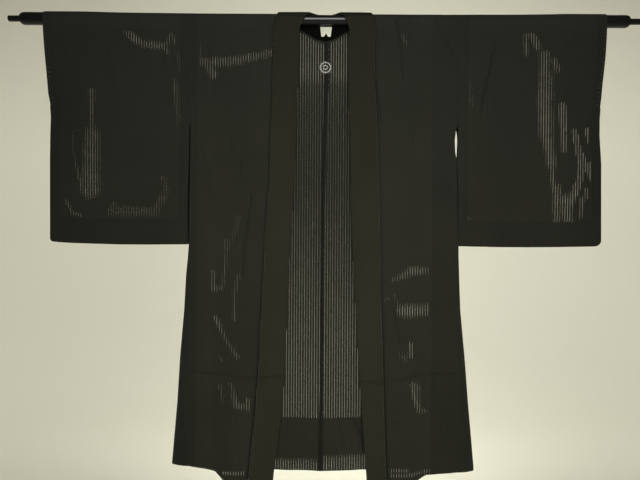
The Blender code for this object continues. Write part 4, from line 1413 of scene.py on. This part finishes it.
def gauze_material():
    """Black gauze: each slit between the stripes is open but for its crossing threads.

    A wall of cloth has two faces. Only the nearer one is seen and casts a shadow, so that a slit is
    looked through once.
    """
    material, tree, shader = new_material("striped_gauze", 0.88, Specular_IOR_Level=0.25, Sheen_Weight=0.04,
                                          Sheen_Roughness=0.5)
    weave, across, along = weave_places(tree)
    clear = stored(tree, "clear")
    aside = slit_distance(tree, across)
    opening = product(tree, stored(tree, "sheer"), SLIT_WIDTH / 2)
    crossing = calculate(tree, "FRACT", calculate(tree, "DIVIDE", along, CROSSING_PITCH))
    slit = calculate(tree, "LESS_THAN", aside, opening)
    uncrossed = calculate(tree, "GREATER_THAN", crossing, CROSSING_SHARE)
    single = calculate(tree, "GREATER_THAN", clear, 0.0)
    hole = product(tree, slit, uncrossed, single)
    behind = add_node(tree, "ShaderNodeNewGeometry").outputs["Backfacing"]
    shut = calculate(tree, "SUBTRACT", 1.0, calculate(tree, "MAXIMUM", hole, behind))
    socket_value(tree, shader.inputs["Alpha"], shut)
    edge = calculate(tree, "LESS_THAN", calculate(tree, "ABSOLUTE", clear), ALLOWANCE_LINE / 2)
    # doubled cloth, which no light comes through, gets painted shade
    doubled = calculate(tree, "LESS_THAN", clear, 0.0)
    dark = product(
        tree,
        spread(tree, doubled, (1.0, ALLOWANCE_SHADE)),
        spread(tree, edge, (1.0, EDGE_SHADE)),
        stripe_shade(tree, aside, GROOVE_DEPTH),
    )
    woven_surface(tree, shader, GAUZE_COLOUR, weave, across, along, dark)
    return material


def band_material():
    """The collar's doubled gauze, which is closed."""
    material, tree, shader = new_material("doubled_gauze", 0.88, Specular_IOR_Level=0.05, Sheen_Weight=0.01,
                                          Sheen_Roughness=0.5)
    weave, across, along = weave_places(tree)
    # the slits' grooves and the shade the collar keeps are painted shade
    dark = stripe_shade(tree, slit_distance(tree, across), BAND_GROOVE_DEPTH)
    woven_surface(tree, shader, BAND_COLOUR, weave, across, along, dark)
    return material


def thread_material(name, colour, gloss):
    """Twisted sewing thread."""
    material, tree, shader = new_material(name, 0.7, Specular_IOR_Level=gloss)
    twist = noise(tree, object_place(tree), TWIST_SCALE)
    tone, roughness = spread(tree, twist, TWIST_TONE), spread(tree, twist, TWIST_ROUGHNESS)
    finish_surface(tree, shader, colour, tone, roughness, twist, TWIST_RELIEF)
    return material


def label_material():
    """Pale plain-woven ribbon, a little soiled."""
    material, tree, shader = new_material("pale_woven_patch", 0.8, Specular_IOR_Level=0.3)
    place = object_place(tree)
    parts = add_node(tree, "ShaderNodeSeparateXYZ", Vector=place).outputs
    warp, weft = ribs(tree, parts["X"], RIBBON_WARP_PITCH), ribs(tree, parts["Z"], RIBBON_WEFT_PITCH)
    threads = product(tree, warp, weft)
    soil = noise(tree, place, SOIL_SCALE, SOIL_DETAIL)
    fine = noise(tree, place, RIBBON_SCALE)
    # the threads' tone is painted shade between them
    tones = ((soil, SOIL_TONE), (fine, RIBBON_TONE), (threads, RIBBON_THREAD_SHADE))
    shade = product(tree, *(spread(tree, value, limits) for value, limits in tones))
    roughness = spread(tree, soil, SOIL_ROUGHNESS)
    finish_surface(tree, shader, LABEL_COLOUR, shade, roughness, threads, RIBBON_RELIEF)
    return material


def rod_material():
    """Semi-gloss black paint with a slight orange peel, rubbed a little along the rod."""
    material, tree, shader = new_material("black_rod_paint", 0.3, Specular_IOR_Level=0.40)
    place = object_place(tree)
    rubbed = noise(tree, calculate_vector(tree, "MULTIPLY", place, RUB_STRETCH), 1.0, RUB_DETAIL)
    peel = noise(tree, place, PEEL_SCALE)
    dust = noise(tree, place, DUST_SCALE, DUST_DETAIL)
    tone = spread(tree, dust, DUST_TONE)
    rough = calculate(tree, "ADD", spread(tree, rubbed, RUB_ROUGHNESS), spread(tree, dust, DUST_ROUGHNESS))
    finish_surface(tree, shader, ROD_COLOUR, tone, rough, peel, PEEL_RELIEF)
    return material


def stitch_tree():
    """Short threads laid at a pitch along drawn lines, on the nearest surface of a piece of cloth."""
    tree = bpy.data.node_groups.new("thread_stitches", "GeometryNodeTree")
    face = tree.interface
    face.new_socket("lines", in_out="INPUT", socket_type="NodeSocketGeometry")
    for name, kind in STITCH_SOCKETS.items():
        face.new_socket(name, in_out="INPUT", socket_type=kind)
    face.new_socket("stitches", in_out="OUTPUT", socket_type="NodeSocketGeometry")
    given = tree.nodes.new("NodeGroupInput").outputs

    # the spots along the lines, and the cloth's surface and its outward direction next to each
    path = add_node(tree, "GeometryNodeMeshToCurve", Mesh=given["lines"]).outputs["Curve"]
    by_pitch = {"mode": "LENGTH"}
    spots = add_node(tree, "GeometryNodeCurveToPoints", by_pitch, Curve=path, Length=given["pitch"]).outputs
    cloth_mesh = add_node(tree, "GeometryNodeObjectInfo", Object=given["cloth"]).outputs["Geometry"]
    nearest = []
    for kind in ("GeometryNodeInputPosition", "GeometryNodeInputNormal"):
        sample = add_node(tree, "GeometryNodeSampleNearestSurface", {"data_type": "FLOAT_VECTOR"},
                          Mesh=cloth_mesh, Value=tree.nodes.new(kind).outputs[0])
        nearest.append(sample.outputs["Value"])
    ground, normal = nearest

    # each thread's direction and size
    tangent = spots["Tangent"]
    sideways = calculate_vector(tree, "CROSS_PRODUCT", normal, tangent)
    ahead = calculate_vector(tree, "SCALE", tangent, scale=calculate(tree, "COSINE", given["slant"]))
    aside = calculate_vector(tree, "SCALE", sideways, scale=calculate(tree, "SINE", given["slant"]))
    direction = calculate_vector(tree, "ADD", ahead, aside)
    turned = add_node(tree, "FunctionNodeAlignRotationToVector", {"axis": "Z"}, Vector=direction)
    uneven = add_node(tree, "FunctionNodeRandomValue", {"data_type": "FLOAT"})
    least, most, result = uneven.inputs[2], uneven.inputs[3], uneven.outputs[1]
    socket_value(tree, least, calculate(tree, "SUBTRACT", 1.0, given["unevenness"]))
    socket_value(tree, most, calculate(tree, "ADD", 1.0, given["unevenness"]))
    socket_value(tree, uneven.inputs["Seed"], given["seed"])
    half_length = product(tree, given["length"], 0.5, result)
    radius = given["radius"]
    size = add_node(tree, "ShaderNodeCombineXYZ", X=radius, Y=radius, Z=half_length)

    # the threads themselves
    laid = add_node(tree, "GeometryNodeSetPosition", Geometry=spots["Points"], Position=ground)
    thread = add_node(tree, "GeometryNodeMeshUVSphere", Segments=6, Rings=4, Radius=1.0).outputs["Mesh"]
    placed = add_node(tree, "GeometryNodeInstanceOnPoints", Points=laid.outputs["Geometry"], Instance=thread,
                      Rotation=turned.outputs["Rotation"], Scale=size.outputs["Vector"])
    whole = add_node(tree, "GeometryNodeRealizeInstances", Geometry=placed.outputs["Instances"])
    smooth = add_node(tree, "GeometryNodeSetShadeSmooth", Geometry=whole.outputs["Geometry"])
    finished = add_node(tree, "GeometryNodeSetMaterial", Geometry=smooth.outputs["Geometry"],
                        Material=given["thread"])
    end = tree.nodes.new("NodeGroupOutput")
    tree.links.new(finished.outputs["Geometry"], end.inputs["stitches"])
    return tree


def sew(tree, name, lines, cloth_piece, stitch, thread, side=0, closed=False):
    """One kind of stitches along lines of points, as a plain mesh. side changes their unevenness."""
    points, edges = [], []
    for line in lines:
        start = len(points)
        points += [tuple(point) for point in line]
        edges += [(place, place + 1) for place in range(start, len(points) - 1)]
        if closed:
            edges.append((len(points) - 1, start))
    mesh = bpy.data.meshes.new(name + "_lines")
    mesh.from_pydata(points, edges, [])
    piece = add_object(name, mesh)
    laid = piece.modifiers.new("stitches", "NODES")
    laid.node_group = tree
    given = {**stitch._asdict(), "seed": stitch.seed + side, "cloth": cloth_piece, "thread": thread}
    for item in tree.interface.items_tree:
        if item.name in given:
            laid[item.identifier] = given[item.name]
    finished = piece.evaluated_get(bpy.context.evaluated_depsgraph_get())
    plain = bpy.data.meshes.new_from_object(finished)
    piece.modifiers.remove(laid)
    piece.data = plain
    plain.name = name
    return piece


def join_pieces(name, parts):
    """Several finished meshes as one piece, with the first one's material."""
    form = bmesh.new()
    for part in parts:
        form.from_mesh(part.data)
    mesh = mesh_from(name, form)
    material = parts[0].data.materials[0]
    for part in parts:
        bpy.data.objects.remove(part)
    for face in mesh.polygons:
        face.material_index = 0
    return make_piece(name, mesh, material)


def inside_line(layer, x, drop):
    """Points inside a body layer, from their places across and their drops."""
    return hang(x, layer * (QUARTER + drop), -LINE_LIFT)


def turn_up_line(side):
    """Points along the top of the back's turn-up."""
    share = np.linspace(*TURN_UP_LINE, LINE_POINTS)
    drop = hem_drop(side, BACK, share) - TURN_UP_STITCH
    return inside_line(BACK, between(side_edge(side, drop), centre_seam(drop), share), drop)


def collar_line():
    """Points along the collar's free outer edge, a little inside it."""
    seam, fold, over_rod = whole_collar()
    flat = across_band(seam, fold, np.full((len(seam), 1), COLLAR_LAP - FELL_INSET))[:, 0]
    return hang(flat[:, 0], flat[:, 1], COLLAR_REST + COLLAR_STACK * over_rod[:, 0] + LINE_LIFT)


def sleeve_lines(side):
    """Points beside the cuff's opening on both layers, and along the bottom's allowance behind."""
    name = SIDE_NAMES[side]
    drop = np.linspace(*CUFF_LINE, LINE_POINTS)
    x = look_up(CUFF, "drop", name, drop) - CUFF_HEM
    share = np.linspace(*BOTTOM_LINE, LINE_POINTS)
    bottom = look_up(SLEEVE_BOTTOM, "share", name, share) - SLEEVE_BOTTOM_ALLOWANCE
    inner = look_up(SIDE, "drop", name + "_sleeve", bottom)
    bottom_x = between(inner, look_up(CUFF, "drop", name, bottom), share)
    lines = ((FRONT, x, drop), (BACK, x, drop), (BACK, bottom_x, bottom))
    return [np.stack((side * place, layer * SLEEVE_LINE_DEPTH + 0 * place, -down), axis=-1)
            for layer, place, down in lines]


def seam_stitches(tree, thread):
    """All the black stitches that show: the back's turn-up, allowances, the collar and the sleeves."""
    side_drop = np.linspace(*SIDE_LINE, LINE_POINTS)
    centre_drop = np.linspace(*CENTRE_LINE, LINE_POINTS)
    parts = []
    for side in (LEFT, RIGHT):
        name = SIDE_NAMES[side]
        beside = side_edge(side, side_drop) - side * SIDE_ALLOWANCE[side]
        lines = [turn_up_line(side)] + [inside_line(layer, beside, side_drop) for layer in (FRONT, BACK)]
        if side == RIGHT:
            lines.append(inside_line(BACK, centre_seam(centre_drop) + CENTRE_ALLOWANCE[RIGHT], centre_drop))
        parts.append(sew(tree, "body_stitches_" + name, lines, bodies[side], BODY_STITCH, thread, side))
        lines = sleeve_lines(side)
        parts.append(sew(tree, "sleeve_stitches_" + name, lines, sleeves[side], SLEEVE_STITCH, thread, side))
    parts.append(sew(tree, "collar_stitches", [collar_line()], collar, COLLAR_STITCH, thread))
    return join_pieces("sewing_stitches", parts)


def label_stitches(tree, thread):
    """Overcast stitches round the label."""
    outline = label_outline(LABEL_EDGE, LABEL_THICK + LABEL_LINE_LIFT)
    return sew(tree, "label_stitches", [outline], label, LABEL_STITCH, thread, closed=True)


def roundel(tree, thread):
    """A plain embroidered roundel on the centre back seam: rings of short stitches, inside and outside."""
    turn = np.linspace(-math.pi / 2, math.pi / 2, ROUNDEL_POINTS) * ROUNDEL_ARC
    parts = []
    for side in (LEFT, RIGHT):
        for outward in (-1, 1):
            for radius, stitch in ROUNDEL:
                x = ROUNDEL_X + side * radius * np.cos(turn)
                drop = ROUNDEL_DROP + radius * np.sin(turn)
                line = hang(x, QUARTER + drop, outward * LINE_LIFT)
                parts.append(sew(tree, "roundel_ring", [line], bodies[side], stitch, thread, side))
    return join_pieces("embroidered_roundel", parts)


def camera_and_light():
    """The camera in front of the jacket, the soft lamps and a dim even light from all round."""
    camera = bpy.data.cameras.new("camera")
    camera.sensor_width = SENSOR_WIDTH
    camera.lens = SENSOR_WIDTH * CAMERA_DISTANCE / FRAME_WIDTH
    camera.clip_start = CAMERA_NEAR
    stand = add_object("camera", camera)
    stand.location = (CAMERA_X, FRONT_PLANE - CAMERA_DISTANCE, CAMERA_HEIGHT)
    stand.rotation_euler = (math.pi / 2, -CAMERA_ROLL, 0.0)
    bpy.context.scene.camera = stand
    for lamp in LAMPS:
        light = bpy.data.lights.new(lamp.name, "AREA")
        light.shape = "RECTANGLE"
        light.size, light.size_y = lamp.size
        light.energy = lamp.power
        light.color = LAMP_COLOUR
        stand = add_object(lamp.name, light)
        stand.location = lamp.place
        stand.visible_diffuse = lamp.lights
        stand.visible_glossy = lamp.shines
        towards = mathutils.Vector(lamp.aim) - mathutils.Vector(lamp.place)
        stand.rotation_euler = towards.to_track_quat("-Z", "Y").to_euler()
        stand.visible_camera = False
    world = bpy.data.worlds.new("studio")
    world.use_nodes = True
    world.node_tree.nodes["Background"].inputs["Color"].default_value = (*WORLD_COLOUR, 1.0)
    bpy.context.scene.world = world
    bpy.context.scene.view_settings.view_transform = "Standard"


def studio_sweep():
    """A pale floor that curves up into a wall."""
    profile = [(SWEEP_FRONT, FLOOR)]
    for turn in np.radians(np.arange(0, 91, 5)):
        back = SWEEP_BACK - SWEEP_RADIUS * (1 - math.sin(turn))
        profile.append((back, FLOOR + SWEEP_RADIUS * (1 - math.cos(turn))))
    profile.append((SWEEP_BACK, SWEEP_TOP))
    points = [(x, y, z) for y, z in profile for x in (-SWEEP_HALF_WIDTH, SWEEP_HALF_WIDTH)]
    faces = [(place, place + 1, place + 3, place + 2) for place in range(0, len(points) - 2, 2)]
    mesh = bpy.data.meshes.new("studio_sweep")
    mesh.from_pydata(points, [], faces)
    material, tree, shader = new_material("pale_backdrop", 0.9, Specular_IOR_Level=0.1)
    tone = spread(tree, noise(tree, object_place(tree), BACKDROP_SCALE), BACKDROP_TONE)
    socket_value(tree, shader.inputs["Base Color"], tint(tree, WALL_COLOUR, tone))
    sweep = make_piece("studio_sweep", mesh, material)


gauze = gauze_material()
band = band_material()
black_thread = thread_material("black_sewing_thread", BLACK_THREAD, 0.03)
pale_thread = thread_material("pale_embroidery_thread", PALE_THREAD, 0.3)

bodies = {side: body_half(side, gauze) for side in (LEFT, RIGHT)}
sleeves = {side: sleeve(side, gauze) for side in (LEFT, RIGHT)}
gussets = {side: gusset(side, gauze) for side in (LEFT, RIGHT)}
collar = collar_band(band)
label = nape_label(label_material())
rod = hanging_rod(rod_material())

for side in (LEFT, RIGHT):
    name = SIDE_NAMES[side]
    for piece, node in ((bodies, "body_"), (sleeves, "sleeve_"), (gussets, "gusset_")):
        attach(piece[side], "root")
        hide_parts(node + name)
for piece, node, slot in (
    (collar, "collar", "collar_band"),
    (label, "nape_label", "label"),
    (rod, "rod", "rod_paint"),
):
    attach(piece, "root")
    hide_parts(node)

stitching = stitch_tree()
stitches = seam_stitches(stitching, black_thread)
label_edge = label_stitches(stitching, pale_thread)
crest = roundel(stitching, pale_thread)
for piece, slot in ((stitches, "gauze"), (label_edge, "label"), (crest, "label")):
    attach(piece, "root")

studio_sweep()
camera_and_light()
